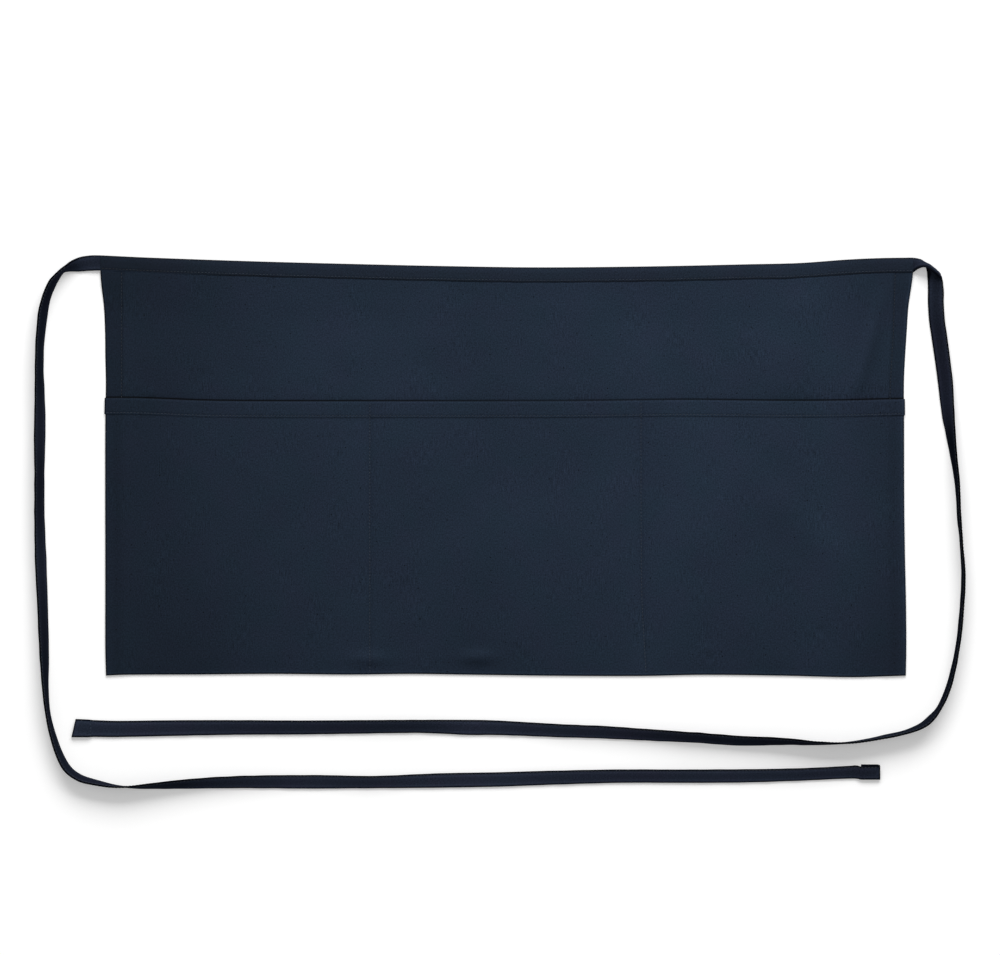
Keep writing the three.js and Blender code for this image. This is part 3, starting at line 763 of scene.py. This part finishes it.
def mouth_gape(x):
    """Where the mouth stands off the apron: up to about 1."""
    return np.minimum(sum(hump(x - middle, width) for middle, width in MOUTH_GAPES), 1)


def pocket_puff(across, y):
    """How far each pocket stands open: across it, and up it."""
    i = np.clip(np.searchsorted(POCKET_SEAMS, across) - 1, 0, len(POCKET_SEAMS) - 2)
    low = POCKET_SEAMS[i] + SEAM_FLAT / HALF
    high = POCKET_SEAMS[i + 1] - SEAM_FLAT / HALF
    side = np.clip(2 * (across - low) / (high - low) - 1, -1, 1)
    foot = bottom_y(across)
    up = np.clip((y - foot) / (mouth_y(across) - foot), 0, 1)
    return 1 - np.abs(side) ** PUFF_ACROSS, 1 - (1 - up) ** PUFF_UP, up


def mouth_hem(across, y):
    low = mouth_y(across) - MOUTH_HEM
    return smoothstep(y, low - 0.7, low + 0.1)


def from_divider(across):
    return np.minimum(np.abs(across - POCKET_SEAMS[1]), np.abs(across - POCKET_SEAMS[2])) * HALF


def pocket_parts(across, x, y):
    """Underside and top of the pocket cloth before its rim is rounded."""
    back_top = back_parts(across, x, y)[1]
    puff, rise, up = pocket_puff(across, y)
    room = POCKET_ROOM + MOUTH_GAPE * mouth_gape(x) * smoothstep(up, *GAPE_UP)
    inward = np.minimum(side_reach(across, y) - np.abs(x), y - bottom_y(across))
    aside = from_divider(across)
    free = smoothstep(inward, *INWARD_FREE) * smoothstep(aside, *DIVIDER_FREE)
    edge_free = smoothstep(inward, *EDGE_FREE)
    uneven = POCKET_UNEVEN * (1 + ripple(x, y, seed=11, wave=38.0)) * free
    uneven = uneven + swells(POCKET_SWELLS, x, y) * edge_free
    pucker = SEAM_PUCKER * ripple(x, y, seed=5, wave=5.0) * hump(aside, 4.0)
    hem = mouth_hem(across, y)
    row = y - (mouth_y(across) - MOUTH_HEM + MOUTH_ROW)
    groove = GROOVE_DEPTH * hump(aside, GROOVE_WIDTH) + GROOVE_DEPTH * hump(row, ROW_GROOVE_WIDTH)
    plump = SEAM_PLUMP * (smoothstep(aside, *PLUMP_RISE) - smoothstep(aside, *PLUMP_FALL))
    under = back_top + PLY_GAP + room * puff * rise + uneven + pucker + np.maximum(plump, 0) * edge_free
    under = under + ROW_PUCKER * ripple(x, y, seed=8, wave=6.0) * hump(row, 5.0) * free
    top = under + WALL + 0.5 * WALL * hem - groove * 0.8
    return under, top


# Shades of the pocket panel, most of them painted shade and light
MOUTH_LINE_DARK = 0.7
MOUTH_LINE_LIGHT = 0.25
ROW_DARK = 0.12
ROW_DARKER = (0.16, -270.0, -100.0)
ROW_UNEVEN = 0.06
DIVIDER_SHADE = 0.08
SIDE_SHADE = 0.14
MOUTH_HEM_SHADE = 0.06
# How light the pocket cloth's inner face is painted, for the shade inside the pocket
INSIDE_PAINTED_SHADE = 0.5


def pocket_painted_shade(across, x, y, beside, above):
    """Painted shade and a painted highlight along the mouth, painted shade below its stitches and beside the
    dividers, and darker in a band near each side and over the mouth hem.
    """
    hem_low = y - (mouth_y(across) - MOUTH_HEM)
    lines = 1 - MOUTH_LINE_DARK * hump(above, 0.4) + MOUTH_LINE_LIGHT * hump(above - 1.0, 0.5)
    painted_shade_and_tone = panel_painted_shade(across, x, y) * lines
    dark = ROW_DARK + grown(x, *ROW_DARKER) + ROW_UNEVEN * ripple(x, 0 * x, seed=17, wave=60.0)
    painted_shade_and_tone = painted_shade_and_tone * (1 - dark * hump(hem_low + 0.35, 0.45))
    painted_shade_and_tone = painted_shade_and_tone * (1 - DIVIDER_SHADE * hump(from_divider(across) - 0.9, 0.7))
    painted_shade_and_tone = painted_shade_and_tone * (1 - SIDE_SHADE * hump(beside - 8.5, 4.0) * smoothstep(-y, -50.0, -30.0))
    return painted_shade_and_tone * (1 - MOUTH_HEM_SHADE * mouth_hem(across, y))


def make_pocket_panel():
    hem_at = SIDE_HEM / HALF
    across = spread_columns([
        (-1.0, RIM), (1.0, RIM), (-1 + hem_at, (0.0, 1.6)), (1 - hem_at, (0.0, 1.6)),
        (POCKET_SEAMS[1], BESIDE_SEAM), (POCKET_SEAMS[2], BESIDE_SEAM),
    ], COLUMN_STEP)
    foot, mouth = bottom_y(across), mouth_y(across)
    hem = mouth - MOUTH_HEM
    y = spread_rows([
        *(foot + d for d in (*RIM, *ABOVE_FOOT)),
        *(hem + d for d in BESIDE_MOUTH_ROW),
        *(mouth - d for d in reversed(RIM)),
    ], ROW_STEP)
    across = np.broadcast_to(across, y.shape)
    x = across_x(across, y)
    under, top = pocket_parts(across, x, y)
    beside = side_reach(across, y) - np.abs(x)
    below = y - bottom_y(across)
    above = mouth_y(across) - y
    closed = np.minimum(beside, below)
    shape = rounded(closed, SEAM_ROUND) * rounded(above, MOUTH_ROUND)
    folded = hump(above, 3.0) * (1 - hump(closed, 2.0))
    rim = (under + 0.1) * (1 - folded) + (under + top) / 2 * folded
    # The pocket cloth's inner face gets painted shade, as inside the pocket
    painted_shade_and_tone, inside = pocket_painted_shade(across, x, y, beside, above), INSIDE_PAINTED_SHADE * painted_light_falloff(x, y)
    x = x + across * MOUTH_STANDOUT * mouth_hem(across, y)
    return sheet_object(
        "pocket_panel_cloth", x, y, (under, top), rim, shape,
        painted_shade_and_tone, inside, panel_cloth)


# Waistband

def band_section():
    """The folded strip in section: distance below the top edge and height, counterclockwise."""
    round_at = BAND_HIGH / 2
    inner = round_at - BAND_LEG
    turns = [math.pi * k / 8 - math.pi / 2 for k in range(9)]
    outer_fold = [(round_at - round_at * math.cos(a), round_at + round_at * math.sin(a)) for a in turns]
    inner_fold = [(round_at - inner * math.cos(a), round_at + inner * math.sin(a)) for a in reversed(turns)]
    row = STRIP_WIDTH - BAND_ROW
    front = [3.0, 4.6, 6.2, 7.8, row - 0.9, row - 0.45, row, row + 0.45, row + 0.8, STRIP_WIDTH - 0.4]
    dip = [0.0, 0.0, 0.02, 0.04, 0.06, 0.14, 0.24, 0.2, 0.22, 0.3]
    upper = [(at, BAND_HIGH - d) for at, d in zip(front, dip)]
    high = BAND_HIGH - BAND_LEG / 2
    bead = [(STRIP_WIDTH - 0.08, high - 0.12), (STRIP_WIDTH, high - 0.2), (STRIP_WIDTH - 0.12, high - 0.28)]
    inside = [(at, BAND_HIGH - BAND_LEG) for at in (STRIP_WIDTH - 0.45, 8.0, 5.0, 3.0)]
    back_inside = [(at, BAND_LEG) for at in (3.0, 5.0, 8.0, STRIP_WIDTH - 0.45)]
    low = BAND_LEG / 2
    back_bead = [(STRIP_WIDTH - 0.12, low + 0.25), (STRIP_WIDTH, low), (STRIP_WIDTH - 0.12, low - 0.25)]
    back = [(at, 0.0) for at in (STRIP_WIDTH - 0.45, 9.0, 6.0, 3.0)]
    return outer_fold + upper + bead + inside + inner_fold + back_inside + back_bead + back


def with_close_ends(values, share_first, share_last):
    """The stations again, with one more just inside each end so that the caps stay crisp."""
    first = values[0] + (values[1] - values[0]) * share_first
    last = values[-1] + (values[-2] - values[-1]) * share_last
    return np.concatenate([values[:1], first[None], values[1:-1], last[None], values[-1:]])


def lofted(name, sections, weave, painted_shade_and_tone, material):
    """A closed solid through rings of points, with a flat cap at each end."""
    reach = np.linalg.norm(np.diff(sections.mean(1), axis=0), axis=1)
    shares = CAP_CLEAR / reach[0], CAP_CLEAR / reach[-1]
    sections, weave, painted_shade_and_tone = (with_close_ends(v, *shares) for v in (sections, weave, painted_shade_and_tone))
    stations, ring = sections.shape[:2]
    points = sections.reshape(-1, 3)
    at = np.arange(stations * ring).reshape(stations, ring)
    after = np.roll(at, -1, axis=1)
    faces = np.stack([at[:-1], after[:-1], after[1:], at[1:]], -1).reshape(-1, 4).tolist()
    faces.append(at[0][::-1].tolist())
    faces.append(at[-1].tolist())
    return mesh_object(name, points, faces, weave.reshape(-1, 3), painted_shade_and_tone.ravel(), material)


# Painted shade and light on the waistband
BAND_LINE = (0.7, 0.1)
FOLD_LIGHT = 0.25
SEAM_HIDDEN = 0.85
SEAM_HIDDEN_AT = (-255.0, -190.0)
BAND_ROW_SHADE = 0.12
LOWER_EDGE_LIGHT = 2.0


def band_painted_shade(x, y, down):
    """Painted shade along each edge, which fades where the seam hardly shows, painted highlights just beside
    them, below the top fold and on the lower lip, and painted shade along the stitches.
    """
    edge = np.minimum(STRIP_WIDTH - down, down)
    hidden = smoothstep(down, 6.0, 9.0) * (1 - smoothstep(x, *SEAM_HIDDEN_AT))
    rim = painted_edge_shade_and_highlight(edge, *BAND_LINE) + FOLD_LIGHT * hump(edge - 2.2, 1.3) * (down < STRIP_WIDTH / 2)
    painted_shade_and_tone = 1 + (rim - 1) * (1 - SEAM_HIDDEN * hidden)
    painted_shade_and_tone = painted_shade_and_tone * painted_light_falloff(x, y) * (1 - BAND_ROW_SHADE * hump(down - (STRIP_WIDTH - BAND_ROW), 0.6))
    return painted_shade_and_tone * (1 + LOWER_EDGE_LIGHT * smoothstep(down, STRIP_WIDTH - 0.55, STRIP_WIDTH - 0.2))


def make_waistband():
    section = band_section()
    down = np.array([d for d, _ in section])
    high = np.array([h for _, h in section])
    count = int(2 * HALF / BAND_STATION)
    across = np.linspace(-1, 1, count + 1)[:, None]
    top = top_y(across)
    x = across * side_reach(across, top) + np.zeros_like(down)
    sway = BAND_SWAY * ripple(x, 0 * x, seed=21, wave=26.0) * (down / STRIP_WIDTH) ** 2
    front = (high > BAND_HIGH / 2) * smoothstep(down, 2.0, 6.0)
    from_row = down - (STRIP_WIDTH - BAND_ROW)
    pucker = BAND_PUCKER * ripple(x, down, seed=23, wave=5.5) * hump(from_row, 3.0) * front
    y = top - down + sway
    z = high + pucker + BAND_UNEVEN * ripple(x, down, seed=25, wave=30.0) * front
    z = np.maximum(z, 0.0)
    sections = np.stack([x, y, z], -1)
    weave = np.stack([x, y + 3.0 * (high < BAND_HIGH / 2), 0 * x], -1)
    return lofted("waistband_cloth", sections, weave, band_painted_shade(x, y, down), band_cloth)


# Ties

UP = np.array([0.0, 0.0, 1.0])


def band_end(side):
    top = float(top_y(np.array(float(side))))
    reach = float(side_reach(np.array(float(side)), np.array(top)))
    return np.array([side * reach, top - STRIP_WIDTH / 2, BAND_HIGH / 2])


def strip_rulings(rows, side, end):
    """Three points across the strip for each row, its lower edge on the floor."""
    rows = np.array(rows, float)
    middles = np.stack([end[0] + side * rows[:, 0], end[1] + rows[:, 1]], -1)
    ahead = middles[np.minimum(np.arange(len(rows)) + 1, len(rows) - 1)]
    behind = middles[np.maximum(np.arange(len(rows)) - 1, 0)]
    run = unit(ahead - behind)
    roll = np.radians(rows[:, 2])
    reach = rows[:, 3] * STRIP_WIDTH / 2
    high = np.abs(np.sin(roll)) * reach + np.abs(np.cos(roll)) * TIE_THICKNESS / 2
    if rows[0, 0] < 1:
        high[0] = end[2]
    middle = np.column_stack([middles, high])
    right = np.stack([run[:, 1] * np.cos(roll), -run[:, 0] * np.cos(roll), np.sin(roll)], -1)
    half = right * reach[:, None]
    return np.stack([middle - half, middle, middle + half], 1)


def fold_rulings(rows, side, end):
    places = np.array(rows, float)
    places[0, :, 2] = end[2]
    return np.stack([end[0] + side * places[..., 0], end[1] + places[..., 1], places[..., 2]], -1)


def run_along(line):
    """How far along a line of close points each of them is."""
    return np.concatenate([[0], np.cumsum(np.linalg.norm(np.diff(line, axis=0), axis=1))])


def unit(vectors):
    return vectors / np.linalg.norm(vectors, axis=-1)[..., None]


def spline(points, t):
    """The uniform Catmull-Rom curve through the points, t from 0 to 1."""
    padded = np.concatenate([2 * points[:1] - points[1:2], points, 2 * points[-1:] - points[-2:-1]])
    place = t * (len(points) - 1)
    i = np.minimum(place.astype(int), len(points) - 2)
    s = (place - i).reshape((-1,) + (1,) * (points.ndim - 1))
    p0, p1, p2, p3 = (padded[i + k] for k in range(4))
    return 0.5 * (2 * p1 + (p2 - p0) * s + (2 * p0 - 5 * p1 + 4 * p2 - p3) * s**2
                  + (3 * p1 - p0 - 3 * p2 + p3) * s**3)


def even_places(points, step):
    """Places along a spline that are a set distance apart."""
    t = np.linspace(0, 1, SPLINE_SAMPLES)
    run = run_along(spline(points[:, 1], t))
    stations = np.linspace(0, run[-1], int(round(run[-1] / step)) + 1)
    return np.interp(stations, run, t), stations


# How the strip starts in the band's end, and how its far ends are made
START_BACK = 0.27
JOINT = (0.0, 18.0)
FULLER_FROM = (8.0, 40.0)
TIE_ROW = 0.82
TIE_ROW_START = 24
TIE_EDGE_ROUND = 0.7
TIE_GROOVE = 0.16
SLANT_REACH = 13.0
HEM_WIDER = 0.05
HEM_THICKER = 0.7
HEM_GROOVE = 0.2
TAB_LENGTH = 14.1
TAB_THICK = 0.75
TAB_PLACE = (258.6, 272.4, -227.6, -217.6)
TAB_STATIONS, TAB_SIDES = 12, 24
TAB_TONE = 0.6
TAB_LINE = (0.6, 0.2)

# Shades of the ties, most of them painted shade and light: along the edges, at the band's end, and along each
# tie's length
TIE_RIM = 0.8
TIE_LIGHT = 0.35
JOINT_LINE = 0.6
JOINT_SHADE = 0.15
MIDDLE_SHADE = (0.12, 2.5)
# Painted light along each tie's length: how far along, then how light
LEFT_PAINTED_LIGHT = (0.0, 330.0, 460.0, 968.0, 984.0), (1.1, 1.1, 1.5, 1.5, 1.0)
RIGHT_PAINTED_LIGHT = (0.0, 20.0, 60.0, 330.0, 430.0, 600.0, 760.0), (1.0, 1.0, 0.67, 0.75, 1.4, 1.6, 1.25)
# Painted shade where the strip stands steep: how light it is there, and the steepness over which it fades in
STEEP_SHADE = 0.42
STEEP = (0.5, 0.9)

# Where points lie across the strip, closest at its edges and beside its stitches
TIE_ACROSS = np.array([
    -1, -0.985, -0.94, -0.89, -0.84, -0.78, -0.7, -0.6, -0.4, 0,
    0.4, 0.6, 0.7, 0.77, TIE_ROW, 0.88, 0.94, 0.985, 1,
])


def tie_frames(rulings, step):
    """Points, normals and lengths along the strip, on its middle surface."""
    t, run = even_places(rulings, step)
    left, middle, right = (spline(rulings[:, k], t) for k in range(3))
    bow = middle - (left + right) / 2
    share = TIE_ACROSS[None, :, None]
    points = left[:, None] + (right - left)[:, None] * (share + 1) / 2 + bow[:, None] * (1 - share**2)
    along = np.gradient(points, axis=0)
    aside = np.gradient(points, axis=1)
    return points, unit(np.cross(aside, along)), run


def tie_painted_shade(run, edge, width, joined, normals, painted_light):
    """Painted shade and highlight lines along the edges, painted shade where the strip stands steep, and
    painted light along its length.
    """
    from_end = run[-1] - run
    rim = TIE_RIM * (1 - JOINT_LINE * joined * (from_end > 0))[:, None]
    shade = painted_edge_shade_and_highlight(0.8 * np.minimum(edge, from_end[:, None]), rim, TIE_LIGHT)
    steep = 1 - smoothstep(np.abs(normals[..., 2]), *STEEP)
    steep = steep * (0.3 + 0.7 * smoothstep(run, 26, 50))[:, None]
    depth, reach = MIDDLE_SHADE
    shade = shade * (1 - (1 - STEEP_SHADE) * steep) * (1 - depth * hump(edge - width[:, None] / 2, reach))
    return shade * (np.interp(run, *painted_light) - JOINT_SHADE * joined)[:, None]


def make_tie(name, rulings, seed, painted_light, slant=0.0, hem=0.0, drop=0.0, narrow=0.0):
    """A flat strip whose far end may be slanted, hemmed, or raised and narrowed over its turned-in end."""
    points, normals, run = tie_frames(rulings, TIE_STATION)
    start = points[0] - (points[1] - points[0]) * START_BACK / TIE_STATION
    points = np.concatenate([start[None], points])
    normals = np.concatenate([normals[:1], normals])
    run = np.concatenate([[0], run + START_BACK])
    from_end = run[-1] - run
    share = TIE_ACROSS[None, :, None]
    ahead = unit(points[-1, 0] - points[-3, 0])
    points = points - ahead * share * slant / 2 * (1 - smoothstep(from_end, 0, SLANT_REACH))[:, None, None]
    hemmed = 1 - smoothstep(from_end, TIE_HEM + 0.2, TIE_HEM + 1.0)
    turned = 1 - smoothstep(from_end, TAB_LENGTH + 0.5, TAB_LENGTH + 3.0)
    middle = points[:, [0, -1]].mean(1)[:, None]
    fuller = TIE_FULLER * smoothstep(run, *FULLER_FROM)
    wider = (1 + fuller + HEM_WIDER * hem * hemmed - narrow * turned)[:, None, None]
    points = middle + (points - middle) * wider - (0, drop, 0) * turned[:, None, None]
    width = np.linalg.norm(points[:, -1] - points[:, 0], axis=1)
    edge = (1 - np.abs(TIE_ACROSS))[None, :] * width[:, None] / 2
    joined = 1 - smoothstep(run, *JOINT)
    half = TIE_THICKNESS / 2 * rounded(edge, TIE_EDGE_ROUND)
    half = half * (1 + (BAND_HIGH / TIE_THICKNESS - 1.0) * joined + HEM_THICKER * hem * hemmed)[:, None]
    groove = TIE_GROOVE * hump((TIE_ACROSS - TIE_ROW)[None, :] * width[:, None] / 2, 0.5)
    groove = groove * (1 - joined)[:, None]
    groove = groove + HEM_GROOVE * hem * hump(from_end - TIE_HEM, 0.5)[:, None] * (edge > 0.4)
    along_run = np.broadcast_to(run[:, None], edge.shape)
    frill = TIE_FRILL * ripple(along_run, 40 * np.sign(TIE_ACROSS)[None, :] + 0 * edge, seed, wave=16.0)
    frill = frill * np.abs(TIE_ACROSS)[None, :] ** 3 * smoothstep(run, 10, 40)[:, None]
    points = points + normals * frill[..., None]
    sides = [points + normals * (half - groove)[..., None], points - normals * (half - groove)[..., None]]
    lowest = np.minimum(sides[0][..., 2].min(1), sides[1][..., 2].min(1))
    lift = np.maximum(FLOOR_CLEAR - lowest, 0) + (TAB_THICK if drop else 0) * turned
    for face in sides:
        face[..., 2] += lift[:, None]
    ring = np.concatenate([sides[1], sides[0][:, ::-1]], axis=1)
    across = TIE_ACROSS * STRIP_WIDTH / 2
    weave_across = np.concatenate([across, across[::-1] + 30.0])
    weave = np.stack([
        np.broadcast_to(weave_across, ring.shape[:2]) + seed,
        np.broadcast_to(run[:, None], ring.shape[:2]), np.zeros(ring.shape[:2])], -1)
    shade = tie_painted_shade(run, edge, width, joined, normals, painted_light)
    shade = np.concatenate([shade, shade[:, ::-1]], axis=1)
    made = lofted(name, ring, weave, shade, strip_cloth)
    return made, points + UP * lift[:, None, None], normals, run


def make_tab(name, low_x, high_x, low_y, high_y):
    """The strip's turned-in end, which shows beside the strip that lies on it."""
    stations = np.linspace(low_x, high_x, TAB_STATIONS)
    turns = np.linspace(0, math.tau, TAB_SIDES, endpoint=False)
    middle, reach = (low_y + high_y) / 2, (high_y - low_y) / 2
    y = middle + reach * np.sign(np.cos(turns)) * np.abs(np.cos(turns)) ** 0.3
    z = TAB_THICK / 2 * (1 + np.sign(np.sin(turns)) * np.abs(np.sin(turns)) ** 0.5)
    taper = 1 - 0.1 * hump(stations - high_x, 0.9)[:, None]
    shape = (TAB_STATIONS, TAB_SIDES)
    ring = np.stack([
        np.broadcast_to(stations[:, None], shape), middle + (y - middle)[None] * taper,
        np.broadcast_to(z, shape) + FLOOR_CLEAR], -1)
    edge = np.minimum(reach - np.abs(ring[..., 1] - middle), high_x - ring[..., 0])
    # Painted shade along the tab's edges, with a painted highlight just inside
    shade = TAB_TONE * painted_edge_shade_and_highlight(edge, *TAB_LINE)
    return lofted(name, ring, ring * (1, 1, 0), shade, strip_cloth)


# Stitches

def stitch_tubes(name, starts, ends, normals, seed, tone=EVEN, rise=STITCH_RISE):
    """One short bowed length of thread for each stitch, its ends let into the cloth."""
    sides, rings = THREAD_SIDES, THREAD_RINGS
    draw = np.random.RandomState(seed)
    starts, ends, normals = (np.asarray(a, float) for a in (starts, ends, normals))
    run = ends - starts
    length = np.linalg.norm(run, axis=1)[:, None]
    ahead = run / length
    aside = np.cross(normals, ahead)
    slant = draw.uniform(-STITCH_ASKEW, STITCH_ASKEW, (len(starts), 1)) * aside
    share = np.linspace(0, 1, rings)
    arch = np.sin(math.pi * share)
    bowed = (rise + THREAD_RADIUS * 0.9) * arch**0.6 - THREAD_RADIUS * 0.9
    thick = THREAD_RADIUS * (0.5 + 0.5 * arch**0.4)
    centre = (starts[:, None] + run[:, None] * share[None, :, None]
              + normals[:, None] * bowed[None, :, None]
              + slant[:, None] * (2 * share - 1)[None, :, None])
    turns = np.linspace(0, math.tau, sides, endpoint=False)
    ring = (aside[:, None, None] * np.cos(turns)[None, None, :, None]
            + normals[:, None, None] * np.sin(turns)[None, None, :, None])
    tube = centre[:, :, None] + ring * thick[None, :, None, None]
    count = len(starts)
    points = tube.reshape(-1, 3)
    at = np.arange(count * rings * sides).reshape(count, rings, sides)
    after = np.roll(at, -1, axis=2)
    faces = np.stack([at[:, :-1], after[:, :-1], after[:, 1:], at[:, 1:]], -1).reshape(-1, 4).tolist()
    faces += at[:, 0, ::-1].reshape(-1, sides).tolist()
    faces += at[:, -1].reshape(-1, sides).tolist()
    weave = np.zeros(tube.shape)
    weave[..., 0] = turns[None, None, :] * THREAD_RADIUS
    weave[..., 1] = share[None, :, None] * length[:, None]
    tone = np.interp(starts[:, 0], *tone)[:, None, None]
    painted_shade_and_tone = np.broadcast_to(tone * draw.uniform(*STITCH_TONES, (count, 1, 1)), tube.shape[:3])
    return mesh_object(name, points, faces, weave.reshape(-1, 3), painted_shade_and_tone.ravel(), thread)


def stitch_line(line, normals, skip_start=0.0):
    """Starts, ends and normals of stitches along a line of close points."""
    run = run_along(line)
    begins = np.arange(skip_start, run[-1] - STITCH_LENGTH, STITCH_PITCH)

    def place(at, rows):
        return np.stack([np.interp(at, run, rows[:, k]) for k in range(3)], -1)

    up = unit(place(begins + STITCH_LENGTH / 2, normals))
    return place(begins, line), place(begins + STITCH_LENGTH, line), up


def flat_row(name, x, y, z, seed, tone=EVEN):
    line = np.stack([x, y, z], -1)
    starts, ends, up = stitch_line(line, np.broadcast_to(UP, line.shape), 0.6)
    return stitch_tubes(name, starts, ends, up, seed, tone)


def band_row():
    across = np.linspace(-0.999, 1, 900)
    top = top_y(across)
    x = across * side_reach(across, top)
    y = top - (STRIP_WIDTH - BAND_ROW)
    z = np.full(x.shape, BAND_HIGH - BAND_ROW_SUNK)
    return flat_row("waistband_stitches", x, y, z, 31, BAND_ROW_TONE)


def mouth_row():
    across = np.linspace(-0.997, 0.997, 1200)
    y = mouth_y(across) - MOUTH_HEM + MOUTH_ROW
    x = across_x(across, y)
    z = pocket_parts(across, x, y)[1]
    shown = x + across * MOUTH_STANDOUT
    return flat_row("mouth_hem_stitches", shown, y, z, 32)


def divider_row(name, seam, seed):
    across = np.full(500, POCKET_SEAMS[seam])
    low, high = bottom_y(across), mouth_y(across)
    y = high - 1.1 + (low + 1.0 - high + 1.1) * np.linspace(0, 1, 500)
    x = across_x(across, y)
    z = pocket_parts(across, x, y)[1]
    return flat_row(name, x, y, z, seed)


def side_row(name, side, seed):
    y = np.linspace(band_low_y(np.array(float(side))) - 1.0, FOOT + 6.0, 700)
    x = curve(SIDE_ROWS, 1 if side < 0 else 2, y)
    across = x / side_reach(np.full(y.shape, float(side)), y)
    z = back_parts(across, x, y)[1]
    return flat_row(name, x, y, z, seed, SIDE_ROW_TONE)


def tie_rows(name, made, seed, cross=False):
    """The strip's edge stitches on both faces, and those across its hem."""
    _, points, normals, run = made
    j = int(np.searchsorted(TIE_ACROSS, TIE_ROW))
    half = TIE_THICKNESS / 2 - TIE_GROOVE
    kept = (run > TIE_ROW_START) & (run < run[-1] - 1.0)
    sets = []
    for sign in (1, -1):
        line = points[:, j] + sign * normals[:, j] * half
        sets.append(stitch_line(line[kept], sign * normals[:, j][kept], 0.6))
    if cross:
        k = int(np.argmin(np.abs(run[-1] - run - TIE_HEM)))
        up = normals[k] * np.sign(normals[k, :, 2])[:, None]
        line = points[k] + up * (TIE_THICKNESS * 0.85 - 0.1)
        sets.append(stitch_line(line[1:-1], up[1:-1], 0.3))
    starts, ends, up = (np.concatenate([s[k] for s in sets]) for k in range(3))
    tone = HEMMED_ROW_TONE if cross else TIE_ROW_TONE
    return stitch_tubes(name, starts, ends, up, seed, tone, TIE_STITCH_RISE)


# Making the pieces

back = make_back_panel()
pocket = make_pocket_panel()
band = make_waistband()
left_end, right_end = band_end(-1), band_end(1)
left_rulings = strip_rulings(LEFT_TIE, -1, left_end)
right_rulings = np.concatenate([
    fold_rulings(RIGHT_FOLD, 1, right_end), strip_rulings(RIGHT_TIE, 1, right_end)])
left = make_tie("tie_left_cloth", left_rulings, 41, LEFT_PAINTED_LIGHT, drop=0.9, narrow=0.06)
right = make_tie("tie_right_cloth", right_rulings, 43, RIGHT_PAINTED_LIGHT, slant=2.6, hem=1.0)
tab = make_tab("tie_left_turned_end", *TAB_PLACE)

band_stitches = band_row()
mouth_stitches = mouth_row()
divider_stitches = [
    divider_row("left_divider_stitches", 1, 33), divider_row("right_divider_stitches", 2, 34)]
hem_stitches = [side_row("left_hem_stitches", -1, 35), side_row("right_hem_stitches", 1, 36)]
left_stitches = tie_rows("tie_left_stitches", left, 37)
right_stitches = tie_rows("tie_right_stitches", right, 38, cross=True)

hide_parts("back_panel")
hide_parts("pocket_panel")
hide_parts("waistband")
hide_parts("tie_left")
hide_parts("tie_right")

# Floor, light and camera, in metres: a white table that glows a little, so that shadows stay pale

WHITE = (1, 1, 1, 1)
FLOOR_HALF = 8.0
FLOOR_WHITE = 0.9
FLOOR_GLOW = 0.26
SKY = 0.35
KEY_PLACE = (0.5, 5.0, 3.13)
KEY_SIZE = (6.0, 3.2)
KEY_POWER = 450.0
CAMERA_SEES = 50.0


def make_floor():
    corners = [(FLOOR_HALF * x, FLOOR_HALF * y, 0) for x, y in ((-1, -1), (1, -1), (1, 1), (-1, 1))]
    mesh = bpy.data.meshes.new("floor")
    mesh.from_pydata(corners, [], [(0, 1, 2, 3)])
    material, _, shader = new_material("floor_white")
    set_inputs(shader, {
        "Base Color": (FLOOR_WHITE, FLOOR_WHITE, FLOOR_WHITE, 1), "Roughness": 0.9, "Specular IOR Level": 0.1,
        "Emission Color": WHITE, "Emission Strength": FLOOR_GLOW,
    })
    mesh.materials.append(material)
    placed("floor", mesh)


def make_light():
    """One wide soft lamp, turned to the middle of the apron."""
    data = bpy.data.lights.new("key", "AREA")
    data.shape = "RECTANGLE"
    data.size, data.size_y = KEY_SIZE
    data.energy = KEY_POWER
    light = placed("key", data)
    light.location = KEY_PLACE
    light.rotation_mode = "QUATERNION"
    light.rotation_quaternion = (-Vector(KEY_PLACE)).to_track_quat("-Z", "Y")


def make_sky():
    world = bpy.data.worlds.new("studio")
    world.use_nodes = True
    set_inputs(world.node_tree.nodes["Background"], {"Color": WHITE, "Strength": SKY})
    bpy.context.scene.world = world


def make_camera():
    """Straight above the apron, as in the photograph."""
    data = bpy.data.cameras.new("camera")
    data.sensor_width = SENSOR
    data.lens = SENSOR * CAMERA_HIGH / VIEW_WIDTH
    data.clip_end = CAMERA_SEES
    camera = placed("camera", data)
    camera.location = (VIEW_X * MM, VIEW_Y * MM, CAMERA_HIGH * MM)
    bpy.context.scene.camera = camera


make_floor()
make_sky()
make_light()
make_camera()
bpy.context.scene.view_settings.view_transform = "Standard"
bpy.context.scene.view_settings.look = "None"

# What the cloth pieces are
for made, with_pieces in ((left, [left_stitches, tab]), (right, [right_stitches])):
    piece, points, normals, run = made
